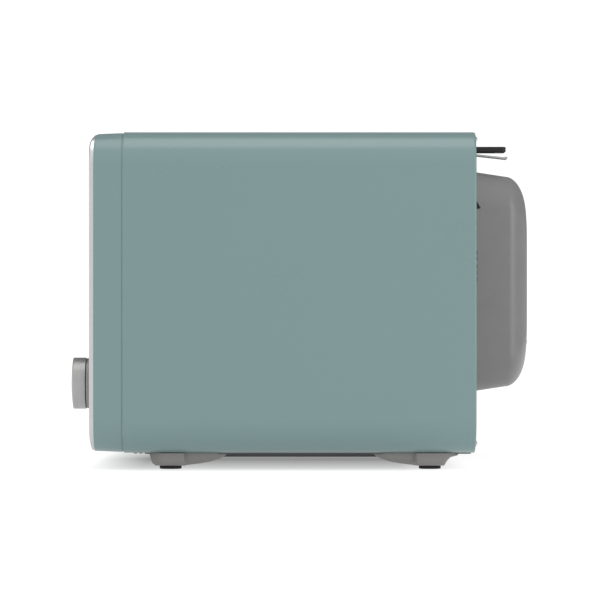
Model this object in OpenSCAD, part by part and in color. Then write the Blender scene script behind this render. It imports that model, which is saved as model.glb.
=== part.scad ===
// Countertop convection toaster oven: painted wrap, drop-down door on the left, control
// column with one knob on the right, crumb tray below the door, motor cover at the back.
// +X is the user's right, +Y is the back and +Z is up. The origin is on the worktop under
// the middle of the whole oven. All sizes are millimetres.

/* [Cabinet] */
// Width of the painted wrap
wrap_w = 490; // [480:1:510]
// Height of the painted wrap
wrap_h = 275.7; // [270:0.1:300]
// Depth of the painted wrap
wrap_d = 302.5; // [295:0.5:320]
// Radius of the wrap's four long corners
corner_r = 30; // [24:1:36]
// Height of the wrap's underside above the worktop
wrap_z = 14.3; // [13:0.1:20]
// Thickness of sheet steel
sheet = 1; // [0.8:0.1:1.2]

/* [Front] */
// Depth of the painted front frame
frame_d = 24.5; // [24:0.5:30]
// Thickness of the steel fascia
fascia_t = 3.9; // [3:0.1:4]
// How far the knob stands out of the fascia
knob_h = 18.4; // [16:0.1:22]
// Diameter of the knob
knob_dia = 44.6; // [36:0.2:48]
// Height of the knob's centre above the worktop
knob_z = 73.3; // [70:0.1:90]

/* [Back] */
// How far the motor cover stands out of the wrap
cover_d = 55.7; // [50:0.1:70]
// Width of the motor cover at its root
cover_w = 240; // [220:1:250]
// Height of the motor cover at its root
cover_h = 201.4; // [190:0.1:205]
// Bore of the cord gland
gland_bore = 7.4; // [6:0.1:9]

/* [Oven] */
// Width of the oven cavity
cavity_w = 320; // [310:1:322]
// Depth of the oven cavity
cavity_d = 264.7; // [260:0.1:270]
// Radius of the hinge pins
pin_r = 2; // [1.5:0.1:2.2]
// Radial play of a turning pin in its bore
running_play = 0.03; // [0.02:0.01:0.05]
// Wire diameter of the rack's rim
rack_rim_dia = 5; // [4:0.5:5]

/* [Hidden] */
$fn = 64;

// Stations along Y, from the knob's face to the heads of the cover's screws.
cover_head = 1;
overall_d = knob_h + fascia_t + frame_d + wrap_d + cover_d + cover_head;
knob_y = -overall_d / 2;
face_y = knob_y + knob_h;
frame_y = face_y + fascia_t;
front_y = frame_y + frame_d;
rear_y = front_y + wrap_d;
cover_y = rear_y + cover_d;

// Stations along Z.
top_z = wrap_z + wrap_h;
mid_z = wrap_z + wrap_h / 2;

// The chassis front plate, the cavity behind it and the rear panel.
plate_t = 1.2;
cavity_y = front_y + plate_t;
cavity_end = cavity_y + cavity_d;
cavity_mid = -60;
cavity_x = [cavity_mid - cavity_w / 2, cavity_mid + cavity_w / 2];
cavity_z = [25.2, 258];
mouth_z = [54, 258];
mouth_r = 8;
panel_y = rear_y - 1.4;
panel_inset = 1.2;

// Three openings in the fascia: door, crumb tray and control column.
door_hole_x = [-234, 114];
door_hole_z = [42, 280];
tray_hole_x = [-222, 102];
tray_hole_z = [25, 38.5];
column_x = [118, 234];
column_z = [25, 280];
hole_r = 14;

// Door: outer frame, panes and the inner steel pan.
door_gap = 1.5;
door_x = [door_hole_x[0] + door_gap, door_hole_x[1] - door_gap];
door_z = [door_hole_z[0] + 2.5, door_hole_z[1] - door_gap];
door_rear = front_y - 2.6;
door_split = door_rear - 9.5;
window_x = [-206, 86];
window_z = [72, 238];
pane_lip = 6;
lip_t = 4;
pane_t = 4;
inner_x = [-228, 108];
inner_z = [46, 274];
inner_window_x = [-200, 80];
inner_window_z = [78, 234];
grip_x = [-150, 30];
grip_z = [252, 270];
grip_wall = 1.8;
pivot_y = face_y + 6.3;
pivot_z = door_z[0] + 6.5;

// Seal that meets the front plate round the mouth.
seal_gap = 2;
seal_w = 5;
seal_t = 1.9;

// Rack, baking tray and crumb tray.
ledge_z = [106, 152, 198];
ledge_w = 8;
ledge_t = 1.2;
slide_gap = 0.3;
rack_x = [cavity_x[0] + 6, cavity_x[1] - 6];
rack_y = [front_y + 7.9, cavity_end - 14];
rack_wire_dia = 3;
rack_wires = 14;
rim_r = rack_rim_dia / 2;
rack_z = ledge_z[0] + slide_gap + rim_r;
crumb_x = [cavity_x[0] + 4, cavity_x[1] - 4];
crumb_z = cavity_z[0] + slide_gap;
crumb_front_t = 12.3;

// Heating elements.
element_r = 4;
element_y = [-70, 40];
upper_z = 246;
lower_z = 64;
element_x = [cavity_x[0] - 12, cavity_x[1] + 12];
insulator_r = 8;
insulator_l = 9;

// Convection fan behind the cavity.
fan_z = 158;
chamber_r = 98;
chamber_d = 30;
fan_hole_r = 76;
shaft_r = 3;
ring_r = 84;
ring_wire_r = 3.25;
impeller_r = 62;
blade_count = 12;

// Control column.
knob_x = 176;
button_r = 9;
button_x = [150, 202];
button_z = [178, 140];
display_x = [131, 221];
display_z = [214, 262];
button_travel = 1.2;
board_y = face_y + 14.3;
encoder_r = 3;
push_gap = 0.6;
knob_cap_d = 12.6;
knob_dome = 1.4;

// Rear furniture.
spout_z = [280.6, 285.6];
spout_d = 37.2;
spout_w = 32;
deflector_w = 24;
gland_x = 150;
gland_z = 216;
louvre_count = 5;
louvre_pitch = 5.8;
louvre_z = 162.8;
louvre_x = [130, 225];
screw_x = 205;

// Feet.
foot_x = 200;
foot_w = 40;
pad_r = 9.5;
pad_t = 2.8;
front_pad_y = -116.2;
rear_pad_y = 107.8;
base_t = 1;
foot_top = wrap_z - base_t;

// Door switch beside the mouth.
switch_x = 105.5;
switch_z = 269;
plunger_r = 1.5;

// A box between two corners given as ranges.
module block(x, y, z) {
    translate([x[0], y[0], z[0]])
        cube([x[1] - x[0], y[1] - y[0], z[1] - z[0]]);
}

// A centred rectangle with round corners.
module rounded_rect(w, h, r) {
    square([w - 2 * r, h], center = true);
    square([w, h - 2 * r], center = true);
    for (sx = [-1, 1], sy = [-1, 1])
        translate([sx * (w / 2 - r), sy * (h / 2 - r)])
            circle(r);
}

// A rectangle with round corners between two ranges.
module round_range(a, b, r) {
    translate([(a[0] + a[1]) / 2, (b[0] + b[1]) / 2])
        rounded_rect(a[1] - a[0], b[1] - b[0], r);
}

// The door's shape and that of its opening: round upper corners and nearly square lower ones,
// so that the open door clears the opening's corners.
module door_shape(a, b, r) {
    low_r = 1;
    round_range(a, b, r);
    round_range(a, [b[0], b[0] + 3 * r], low_r);
}

// Turns an XZ outline into a slab between two Y stations.
module along_y(y0, y1) {
    translate([0, y1, 0])
        rotate([90, 0, 0])
            linear_extrude(y1 - y0)
                children();
}

// Turns a YZ outline into a slab between two X stations.
module along_x(x0, x1) {
    translate([x0, 0, 0])
        rotate([90, 0, 90])
            linear_extrude(x1 - x0)
                children();
}

// The oven's outline seen from the front, drawn in by an inset.
module outline(inset) {
    translate([0, mid_z])
        rounded_rect(wrap_w - 2 * inset, wrap_h - 2 * inset, corner_r - inset);
}

// A rod along Y.
module rod_y(x, z, y0, y1, r) {
    translate([x, y1, z])
        rotate([90, 0, 0])
            cylinder(r = r, h = y1 - y0);
}

// A rod along X.
module rod_x(y, z, x0, x1, r) {
    translate([x0, y, z])
        rotate([0, 90, 0])
            cylinder(r = r, h = x1 - x0);
}

// ---- Cabinet ----

// Painted sheet bent round all four long edges; its two lips meet the base plate.
module outer_wrap() {
    lip_x = 195;
    dimple_r = 1.75;
    color([0.48, 0.59, 0.58])
    union() {
        difference() {
            along_y(front_y, rear_y)
                difference() {
                    outline(0);
                    outline(sheet);
                }
            block([-lip_x, lip_x], [front_y - 1, rear_y + 1], [wrap_z - 1, wrap_z + 4]);
        }
        for (sx = [-1, 1], y = [9.8, 14.5])
            translate([sx * (screw_x + 2), front_y + y, wrap_z - 1.1])
                cylinder(r = dimple_r, h = 1.6);
    }
}

// Painted frame that the fascia and the door sit in.
module front_frame() {
    color([0.48, 0.59, 0.58])
    difference() {
        union() {
            along_y(frame_y + 5, front_y)
                outline(0.7);
            along_y(frame_y, frame_y + 5)
                outline(1.6);
        }
        along_y(frame_y - 1, front_y + 1)
            outline(6.7);
    }
}

// Brushed steel fascia with openings for the door, the crumb tray and the controls.
module fascia() {
    color([0.82, 0.83, 0.82])
    along_y(face_y, frame_y)
        difference() {
            outline(3);
            door_shape(door_hole_x, door_hole_z, hole_r);
            round_range(tray_hole_x, tray_hole_z, 3);
            round_range(column_x, column_z, hole_r);
        }
}

// Chassis plate with the oven's mouth, the crumb tray slot and the switch hole.
module front_plate() {
    color([0.72, 0.73, 0.74])
    difference() {
        along_y(front_y, cavity_y)
            difference() {
                outline(panel_inset);
                round_range(cavity_x, mouth_z, mouth_r);
                round_range([cavity_x[0] + 1.5, cavity_x[1] - 1.5], [cavity_z[0], tray_hole_z[1]], 1);
            }
        rod_y(switch_x, switch_z, front_y - 1, cavity_y + 1, plunger_r + 0.3);
    }
}

// Base plate with vent slots and two stiffening ribs.
module base_plate() {
    rib_x = 176;
    rib_z = 9.2;
    slot_w = 5;
    slot_l = 44;
    color([0.36, 0.38, 0.39])
    union() {
        difference() {
            block([-215, 215], [front_y + 18, panel_y - 2], [foot_top, wrap_z]);
            for (i = [-5:5], row = [-1, 0, 1])
                block([i * 26 - slot_w / 2, i * 26 + slot_w / 2],
                    [row * 80 - slot_l / 2, row * 80 + slot_l / 2], [foot_top - 1, wrap_z + 1]);
        }
        for (sx = [-1, 1])
            block([sx * rib_x - 1, sx * rib_x + 1], [front_y + 22, rear_y - 17], [rib_z, foot_top]);
    }
}

// Back panel with the motor opening, pressed louvres, screw holes and the gland's hole.
module rear_panel() {
    opening_w = 184;
    opening_h = 176;
    lip = 3.2;
    color([0.62, 0.63, 0.64])
    union() {
        difference() {
            along_y(panel_y - plate_t, panel_y)
                difference() {
                    outline(panel_inset);
                    translate([cavity_mid, cover_mid_z])
                        rounded_rect(opening_w, opening_h, 20);
                }
            rod_y(gland_x, gland_z, panel_y - 2, panel_y + 1, 7.2);
            for (p = rear_screws)
                rod_y(p[0], p[1], panel_y - 2, panel_y + 1, screw_shank_r + 0.2);
        }
        for (i = [0:louvre_count - 1])
            translate([0, 0, louvre_z + i * louvre_pitch])
                along_x(louvre_x[0], louvre_x[1])
                    polygon([[panel_y - 0.2, 0], [panel_y + lip, -0.6], [panel_y + lip, 0.4],
                        [panel_y - 0.2, 3.4]]);
    }
}

cover_mid_z = 162.5;
cover_root_r = 30;
cover_draft = 5.2;
cover_bend_y = 20.2;
cover_bend_z = 36;
cover_wall = 1.2;
screw_shank_r = 1.8;
screw_head_r = 3.5;
rear_screws = [[-screw_x, 284.2], [screw_x, 284.2], [-screw_x, 21.8], [0, 21.8], [screw_x, 21.8]];

// One flat slice of the cover's drawn shape.
module cover_slice(y, inset) {
    along_y(y - 0.05, y)
        translate([cavity_mid, cover_mid_z])
            rounded_rect(cover_w - 2 * inset, cover_h - 2 * inset, cover_root_r - inset / 6);
}

// The cover's drawn form: drafted sides and an elliptical bend into the flat back.
module cover_form(shrink) {
    hull() {
        cover_slice(panel_y + 0.05, shrink);
        for (a = [0:15:90])
            cover_slice(cover_y - shrink - cover_bend_y * (1 - sin(a)),
                shrink + cover_draft + cover_bend_z * (1 - cos(a)));
    }
}

// Deep-drawn steel cover over the fan motor, with a flat flange against the back panel.
module rear_cover() {
    color([0.48, 0.48, 0.49])
    difference() {
        union() {
            cover_form(0);
            along_y(panel_y, panel_y + sheet)
                translate([cavity_mid, cover_mid_z])
                    rounded_rect(cover_w + 14, cover_h + 12, cover_root_r + 6);
        }
        difference() {
            translate([0, -0.05, 0])
                cover_form(cover_wall);
            block([-300, 300], [panel_y - 5, panel_y - 0.2], [0, 300]);
        }
        along_y(panel_y - 1, panel_y + sheet + 0.1)
            translate([cavity_mid, cover_mid_z])
                rounded_rect(cover_w - 2 * cover_wall, cover_h - 2 * cover_wall, cover_root_r - 1);
        for (p = cover_screws)
            rod_y(p[0], p[1], cover_y - 6, cover_y + 1, screw_shank_r + 0.2);
    }
}

cover_screws = [[cavity_mid - 70, 211], [cavity_mid + 70, 211],
    [cavity_mid - 70, 108], [cavity_mid + 70, 108]];

// Four screws that hold the motor cover.
module rear_cover_screws() {
    color([0.45, 0.45, 0.46])
    for (p = cover_screws) {
        rod_y(p[0], p[1], cover_y, cover_y + cover_head, 3);
        rod_y(p[0], p[1], cover_y - 8, cover_y, screw_shank_r);
    }
}

// Screws along the edge of the back panel.
module rear_panel_screws() {
    color([0.8, 0.8, 0.8])
    for (p = rear_screws) {
        rod_y(p[0], p[1], panel_y, rear_y + 2.6, screw_head_r);
        rod_y(p[0], p[1], panel_y - 8, panel_y, screw_shank_r);
    }
}

// Black steam spout high on the back panel, open through its middle.
module exhaust_hood() {
    slot_half = 10;
    slot_y = [rear_y + 8, rear_y + 28];
    color([0.08, 0.08, 0.08])
    difference() {
        along_x(-spout_w / 2, spout_w / 2)
            translate([(panel_y + rear_y + spout_d) / 2, (spout_z[0] + spout_z[1]) / 2])
                rounded_rect(rear_y + spout_d - panel_y, spout_z[1] - spout_z[0], 1.2);
        block([-slot_half, slot_half], slot_y, [spout_z[0] - 1, spout_z[1] + 1]);
    }
}

// Steel tab under the spout that turns hot air away from the back panel.
module exhaust_deflector() {
    tip_y = rear_y + 39.1;
    root_z = spout_z[0] - 0.3;
    tip_z = root_z - 4.8;
    hem_r = 1.25;
    half_t = 0.8;
    flange_z = root_z - 3.2;
    color([0.7, 0.7, 0.7])
    along_x(-deflector_w / 2, deflector_w / 2)
        union() {
            polygon([[panel_y, flange_z], [panel_y + 1, flange_z], [panel_y + 1, root_z - 2 * half_t],
                [tip_y - hem_r, tip_z - half_t], [tip_y - hem_r, tip_z + half_t], [panel_y, root_z]]);
            translate([tip_y - hem_r, tip_z])
                circle(hem_r);
        }
}

// Black cord gland: a square flange, a sleeve through the panel and a sloping hood.
module cord_gland() {
    half = 11;
    hood_tip = rear_y + 7.4;
    color([0.06, 0.06, 0.06])
    difference() {
        union() {
            block([gland_x - half, gland_x + half], [panel_y, panel_y + 3], [gland_z - half, gland_z + half]);
            rod_y(gland_x, gland_z, panel_y - 9.2, panel_y, 7);
            along_x(gland_x - half, gland_x + half)
                polygon([[panel_y, gland_z + 25], [panel_y, gland_z + 9.8], [hood_tip, gland_z + 9.8]]);
        }
        rod_y(gland_x, gland_z, panel_y - 10, panel_y + 4, gland_bore / 2);
    }
}

// ---- Feet ----

// A moulded foot: a lump over the pad and a tail that runs to the oven's middle.
module foot(side, pad_y, toe, inward) {
    color([0.5, 0.49, 0.48])
    difference() {
        intersection() {
            along_x(side * foot_x - foot_w / 2, side * foot_x + foot_w / 2)
                translate([pad_y, 0])
                    polygon([for (p = concat(toe, foot_tail)) [inward * p[0], p[1]]]);
            translate([side * foot_x, pad_y + inward * 14, 0])
                linear_extrude(foot_top)
                    rounded_rect(foot_w, 76, 14);
        }
        translate([side * foot_x, pad_y, pad_t - 1])
            cylinder(r = 3.6, h = 6);
    }
}

foot_tail = [[12, 2.8], [18, 3.6], [26, 4.6], [34, 6], [42, 8.4], [47, 11], [49, foot_top]];
front_toe = [[-18, foot_top], [-16.5, 7], [-15, 4.4], [-12.7, 2.8]];
rear_toe = [[-24, foot_top], [-24, 11.7], [-17.5, 10.2], [-14.9, 7.7], [-12, 2.8]];

module foot_front_left() { foot(-1, front_pad_y, front_toe, 1); }
module foot_front_right() { foot(1, front_pad_y, front_toe, 1); }
module foot_rear_left() { foot(-1, rear_pad_y, rear_toe, -1); }
module foot_rear_right() { foot(1, rear_pad_y, rear_toe, -1); }

// Four rubber pads, each with a stem pushed up into its foot.
module foot_pads() {
    color([0.06, 0.06, 0.06])
    for (sx = [-1, 1], y = [front_pad_y, rear_pad_y])
        translate([sx * foot_x, y, 0]) {
            cylinder(r = pad_r, h = pad_t);
            cylinder(r = 3.5, h = 7);
        }
}

// ---- Cavity ----

// Holes in a side wall for the ends of the four heating elements.
module element_holes(x0, x1) {
    for (y = element_y, z = [upper_z, lower_z])
        rod_x(y, z, x0, x1, element_r + 0.5);
}

module cavity_left_wall() {
    color([0.6, 0.61, 0.62])
    difference() {
        block([cavity_x[0] - sheet, cavity_x[0]], [cavity_y, cavity_end], cavity_z);
        element_holes(cavity_x[0] - 3, cavity_x[0] + 3);
    }
}

module cavity_right_wall() {
    color([0.6, 0.61, 0.62])
    difference() {
        block([cavity_x[1], cavity_x[1] + sheet], [cavity_y, cavity_end], cavity_z);
        element_holes(cavity_x[1] - 3, cavity_x[1] + 3);
        rod_x(probe_y, probe_z, cavity_x[1] - 3, cavity_x[1] + 3, probe_r + 0.5);
        rod_x(lamp_y, lamp_z, cavity_x[1] - 3, cavity_x[1] + 3, lamp_r - 3);
    }
}

module cavity_top() {
    color([0.6, 0.61, 0.62])
    block([cavity_x[0] - sheet, cavity_x[1] + sheet], [cavity_y, cavity_end],
        [cavity_z[1], cavity_z[1] + sheet]);
}

module cavity_floor() {
    color([0.6, 0.61, 0.62])
    block([cavity_x[0] - sheet, cavity_x[1] + sheet], [cavity_y, cavity_end],
        [cavity_z[0] - sheet, cavity_z[0]]);
}

module cavity_rear_wall() {
    color([0.6, 0.61, 0.62])
    difference() {
        block([cavity_x[0] - sheet, cavity_x[1] + sheet], [cavity_end, cavity_end + sheet],
            [cavity_z[0] - sheet, cavity_z[1] + sheet]);
        rod_y(cavity_mid, fan_z, cavity_end - 2, cavity_end + 2, fan_hole_r);
    }
}

// A pressed side rail with three ledges, on one side of the cavity.
module runner(x, inward) {
    back = x + inward * 0.1;
    plate = x + inward * 0.9;
    tip = x + inward * ledge_w;
    color([0.66, 0.67, 0.68])
    union() {
        for (y = [cavity_y + 14, cavity_end - 26])
            block([min(back, plate), max(back, plate)], [y, y + 12], [ledge_z[0] - 12, ledge_z[2] + 6]);
        for (z = ledge_z)
            block([min(back, tip), max(back, tip)], [cavity_y + 8, cavity_end - 10], [z - ledge_t, z]);
    }
}

module runner_left() { runner(cavity_x[0], 1); }
module runner_right() { runner(cavity_x[1], -1); }

// Two sheathed heating elements across the cavity.
module elements(z) {
    color([0.35, 0.34, 0.33])
    for (y = element_y)
        rod_x(y, z, element_x[0], element_x[1], element_r);
}

module upper_elements() { elements(upper_z); }
module lower_elements() { elements(lower_z); }

// Eight ceramic collars that carry the elements outside the side walls.
module element_insulators() {
    color([0.9, 0.88, 0.82])
    for (y = element_y, z = [upper_z, lower_z], x = [cavity_x[0] - sheet - insulator_l, cavity_x[1] + sheet])
        difference() {
            rod_x(y, z, x, x + insulator_l, insulator_r);
            rod_x(y, z, x - 1, x + insulator_l + 1, element_r + 0.3);
        }
}

probe_y = 88;
probe_z = 232;
probe_r = 2;

// Thin temperature probe through the right wall.
module temperature_probe() {
    color([0.75, 0.75, 0.76])
    union() {
        rod_x(probe_y, probe_z, cavity_x[1] - 32, cavity_x[1] + 14, probe_r);
        rod_x(probe_y, probe_z, cavity_x[1] + sheet, cavity_x[1] + sheet + 3, 7);
    }
}

lamp_y = -15;
lamp_z = 228;
lamp_r = 16;
lamp_dome_r = 22;

// Glass dome over the oven lamp.
module lamp_lens() {
    color([0.85, 0.88, 0.85])
    difference() {
        intersection() {
            rod_x(lamp_y, lamp_z, cavity_x[1] - 8, cavity_x[1], lamp_r);
            translate([cavity_x[1] - 8 + lamp_dome_r, lamp_y, lamp_z])
                sphere(lamp_dome_r, $fn = 160);
        }
        rod_x(lamp_y, lamp_z, cavity_x[1] - 4, cavity_x[1] + 1, lamp_r - 5);
    }
}

// ---- Convection fan ----

// Slotted guard in front of the impeller.
module fan_guard() {
    guard_r = fan_hole_r + 8;
    slots = 24;
    color([0.6, 0.61, 0.62])
    difference() {
        rod_y(cavity_mid, fan_z, cavity_end - 2, cavity_end, guard_r);
        for (i = [0:slots - 1])
            translate([cavity_mid, cavity_end, fan_z])
                rotate([0, i * 360 / slots, 0])
                    block([22, fan_hole_r - 8], [-3, 1], [-2, 2]);
    }
}

// Drawn pan that holds the impeller and the ring element.
module fan_chamber() {
    pan_y = cavity_end + sheet;
    color([0.6, 0.61, 0.62])
    difference() {
        rod_y(cavity_mid, fan_z, pan_y, pan_y + chamber_d, chamber_r);
        rod_y(cavity_mid, fan_z, pan_y - 1, pan_y + chamber_d - sheet, chamber_r - sheet);
        rod_y(cavity_mid, fan_z, pan_y, pan_y + chamber_d + 1, 2 * shaft_r);
        for (sx = [-1, 1])
            rod_y(cavity_mid + sx * 12, fan_z - ring_r, pan_y, pan_y + chamber_d + 1, ring_wire_r + 1);
    }
}

// Ring element round the impeller, with its two terminals.
module convection_element() {
    ring_y = cavity_end + 16;
    drop = ring_r - sqrt(ring_r * ring_r - 144);
    color([0.32, 0.31, 0.3])
    union() {
        translate([cavity_mid, ring_y, fan_z])
            rotate([90, 0, 0])
                rotate_extrude()
                    translate([ring_r, 0])
                        circle(ring_wire_r, $fn = 32);
        for (sx = [-1, 1])
            rod_y(cavity_mid + sx * 12, fan_z - ring_r + drop, ring_y, ring_y + 17, 3);
    }
}

// Twelve straight blades on a back plate and a hub.
module fan_impeller() {
    front = cavity_end + 6;
    back = cavity_end + 24;
    color([0.7, 0.71, 0.72])
    difference() {
        union() {
            rod_y(cavity_mid, fan_z, front, back, 10);
            rod_y(cavity_mid, fan_z, back - 1.5, back, impeller_r);
            for (i = [0:blade_count - 1])
                translate([cavity_mid, 0, fan_z])
                    rotate([0, i * 360 / blade_count, 0])
                        block([8, impeller_r - 1], [front + 2, back - 1], [-0.6, 0.6]);
        }
        rod_y(cavity_mid, fan_z, front - 1, back + 1, shaft_r + 0.02);
    }
}

module fan_shaft() {
    color([0.75, 0.75, 0.76])
    rod_y(cavity_mid, fan_z, cavity_end + 4, cavity_end + 68, shaft_r);
}

// Shaded-pole motor on two legs behind the chamber.
module fan_motor() {
    front = cavity_end + sheet + chamber_d;
    half = 32;
    leg = 5;
    color([0.55, 0.5, 0.45])
    difference() {
        union() {
            block([cavity_mid - half, cavity_mid + half], [front + 12, front + 26],
                [fan_z - half, fan_z + half]);
            rod_y(cavity_mid, fan_z, front + 9, front + 34, 20);
            for (sx = [-1, 1], sz = [-1, 1])
                rod_y(cavity_mid + sx * (half - leg), fan_z + sz * (half - leg), front, front + 12, leg);
        }
        rod_y(cavity_mid, fan_z, front, front + 36, shaft_r + running_play);
    }
}

// ---- Control column ----

// Black panel with the display window, four button holes and the knob hole.
module control_panel() {
    gap = 1.2;
    plate = 3;
    panel_x = [column_x[0] + gap, column_x[1] - gap];
    panel_z = [column_z[0] + gap, column_z[1] - gap];
    color([0.07, 0.07, 0.08])
    difference() {
        along_y(face_y, face_y + 9)
            round_range(panel_x, panel_z, hole_r - gap);
        along_y(face_y + plate, face_y + 10)
            round_range([panel_x[0] + 2, panel_x[1] - 2], [panel_z[0] + 2, panel_z[1] - 2], hole_r - gap - 2);
        block(display_x, [face_y - 1, face_y + plate + 1], display_z);
        rod_y(knob_x, knob_z, face_y - 1, face_y + plate + 1, encoder_r + 1.2);
        for (x = button_x, z = button_z)
            rod_y(x, z, face_y - 1, face_y + plate + 1, button_r + 0.4);
    }
}

module display_glass() {
    edge = 0.3;
    color([0.03, 0.04, 0.05])
    block([display_x[0] + edge, display_x[1] - edge], [face_y + 0.1, face_y + 2.5],
        [display_z[0] + edge, display_z[1] - edge]);
}

// Circuit board with its soldered display and four tact switches.
module control_board() {
    switch_half = 3;
    color([0.1, 0.35, 0.2])
    union() {
        block([column_x[0] + 8, column_x[1] - 8], [board_y, board_y + 1.6], [58, 268]);
        block([display_x[0] + 2, display_x[1] - 2], [face_y + 3.1, board_y],
            [display_z[0] + 2, display_z[1] - 2]);
        for (x = button_x, z = button_z)
            block([x - switch_half, x + switch_half], [board_y - 4.8, board_y],
                [z - switch_half, z + switch_half]);
    }
}

// Mains board on the cabinet's right side with a transformer and two relays.
module power_board() {
    board_x = 236;
    color([0.2, 0.4, 0.2])
    union() {
        block([board_x, board_x + 1.6], [-120, 80], [70, 230]);
        block([board_x - 34, board_x], [20, 66], [90, 134]);
        for (z = [150, 186])
            block([board_x - 18, board_x], [-90, -62], [z, z + 16]);
    }
}

// Rotary encoder that the knob turns and pushes.
module encoder_body() {
    half = 7;
    bush_r = 3.9;
    color([0.6, 0.6, 0.6])
    difference() {
        union() {
            block([knob_x - half, knob_x + half], [board_y - 7, board_y], [knob_z - half, knob_z + half]);
            rod_y(knob_x, knob_z, face_y + 0.6, board_y - 7, bush_r);
        }
        rod_y(knob_x, knob_z, face_y, board_y - 1.6, encoder_r + running_play);
    }
}

module encoder_shaft() {
    color([0.7, 0.7, 0.7])
    rod_y(knob_x, knob_z, knob_y + 4.2, board_y - 3, encoder_r);
}

// Dark ring fixed to the panel behind the knob.
module knob_ring() {
    color([0.25, 0.25, 0.25])
    difference() {
        rod_y(knob_x, knob_z, knob_y + knob_cap_d + push_gap, face_y, knob_dia / 2 - 0.5);
        rod_y(knob_x, knob_z, knob_y, face_y + 1, 8);
    }
}

// Metal knob with a slightly domed face and a hub that takes the encoder's shaft.
module knob_cap() {
    knob_r = knob_dia / 2;
    dome_r = (knob_r * knob_r + knob_dome * knob_dome) / (2 * knob_dome);
    color([0.72, 0.72, 0.71])
    difference() {
        union() {
            intersection() {
                rod_y(knob_x, knob_z, knob_y, knob_y + knob_cap_d, knob_r);
                translate([knob_x, knob_y + dome_r, knob_z])
                    sphere(dome_r, $fn = 128);
            }
            rod_y(knob_x, knob_z, knob_y + knob_cap_d - 1, face_y - 1.7, 7);
        }
        rod_y(knob_x, knob_z, knob_y + 4, face_y, encoder_r + 0.02);
    }
}

// A round push button with its stem.
module button(x, z) {
    color([0.75, 0.76, 0.76])
    union() {
        rod_y(x, z, face_y + 0.1, face_y + 3.8, button_r);
        rod_y(x, z, face_y + 3, board_y - 4.8 - button_travel - 0.2, 3);
    }
}

module button_upper_left() { button(button_x[0], button_z[0]); }
module button_upper_right() { button(button_x[1], button_z[0]); }
module button_lower_left() { button(button_x[0], button_z[1]); }
module button_lower_right() { button(button_x[1], button_z[1]); }

// ---- Door ----

// Two brackets between the fascia and the front plate, bored for the hinge pins.
module hinge_brackets() {
    color([0.6, 0.6, 0.6])
    for (x = [[-238, -233.2], [113.2, 118.4]])
        difference() {
            block(x, [frame_y, front_y], [door_z[0] - 0.5, pivot_z + 7]);
            rod_x(pivot_y, pivot_z, x[0] - 1, x[1] + 1, pin_r + running_play);
        }
}

module hinge_pins() {
    color([0.7, 0.7, 0.7])
    for (x = [[-237.6, -224], [104, 118]])
        rod_x(pivot_y, pivot_z, x[0], x[1], pin_r);
}

// Steel-faced outer frame of the door, rebated for the pane, with the grip's pocket.
module door_frame() {
    color([0.8, 0.8, 0.8])
    difference() {
        along_y(face_y, door_split)
            difference() {
                door_shape(door_x, door_z, hole_r - door_gap);
                round_range(window_x, window_z, 4);
                round_range(grip_x, grip_z, 5);
            }
        along_y(face_y + lip_t, door_split + 1)
            round_range([window_x[0] - pane_lip - 1, window_x[1] + pane_lip + 1],
                [window_z[0] - pane_lip - 1, window_z[1] + pane_lip + 1], 4);
        for (x = [[-233, -223.5], [103.5, 113]])
            rod_x(pivot_y, pivot_z, x[0], x[1], pin_r + 0.05);
    }
}

module door_glass() {
    color([0.1, 0.1, 0.11])
    along_y(face_y + lip_t, face_y + lip_t + pane_t)
        round_range([window_x[0] - pane_lip, window_x[1] + pane_lip],
            [window_z[0] - pane_lip, window_z[1] + pane_lip], 4);
}

// Inner steel pan of the door, with two hooks that draw the rack out.
module door_inner_panel() {
    color([0.68, 0.69, 0.7])
    difference() {
        union() {
            along_y(door_split, door_rear)
                round_range(inner_x, inner_z, 8);
            for (x = [rack_x[0] + 4, rack_x[1] - 10])
                block([x, x + 6], [door_rear - 1, door_rear + 6.5], [rack_z + rim_r + 2, rack_z + rim_r + 5]);
        }
        along_y(door_split - 1, door_rear - sheet)
            round_range([inner_x[0] + sheet, inner_x[1] - sheet],
                [inner_z[0] + sheet, inner_z[1] - sheet], 7);
        along_y(door_split - 1, door_rear + 1)
            round_range(inner_window_x, inner_window_z, 6);
    }
}

module door_inner_glass() {
    color([0.3, 0.32, 0.33])
    along_y(door_rear - sheet - 3, door_rear - sheet)
        round_range([inner_window_x[0] - 5, inner_window_x[1] + 5],
            [inner_window_z[0] - 5, inner_window_z[1] + 5], 6);
}

// Silicone seal round the mouth.
module door_seal() {
    inner_edge_x = [cavity_x[0] - seal_gap, cavity_x[1] + seal_gap];
    inner_edge_z = [mouth_z[0] - seal_gap, mouth_z[1] + seal_gap];
    color([0.15, 0.15, 0.15])
    along_y(door_rear, door_rear + seal_t)
        difference() {
            round_range([inner_edge_x[0] - seal_w, inner_edge_x[1] + seal_w],
                [inner_edge_z[0] - seal_w + 0.5, inner_edge_z[1] + seal_w - 0.5], mouth_r + 5);
            round_range(inner_edge_x, inner_edge_z, mouth_r);
        }
}

// Moulded cup behind the door's finger slot, undercut at the top.
module door_grip() {
    cup_x = [grip_x[0] + 0.2, grip_x[1] - 0.2];
    cup_z = [grip_z[0] + 0.2, grip_z[1] - 0.2];
    mouth_top = cup_z[1] - 6;
    color([0.1, 0.1, 0.1])
    difference() {
        along_y(face_y, door_split - 0.2)
            round_range(cup_x, cup_z, 5);
        block([cup_x[0] + grip_wall, cup_x[1] - grip_wall], [face_y - 1, door_split - 2],
            [cup_z[0] + grip_wall, mouth_top]);
        block([cup_x[0] + grip_wall, cup_x[1] - grip_wall], [face_y + 2, door_split - 2],
            [cup_z[0] + grip_wall, cup_z[1] - grip_wall]);
    }
}

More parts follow.
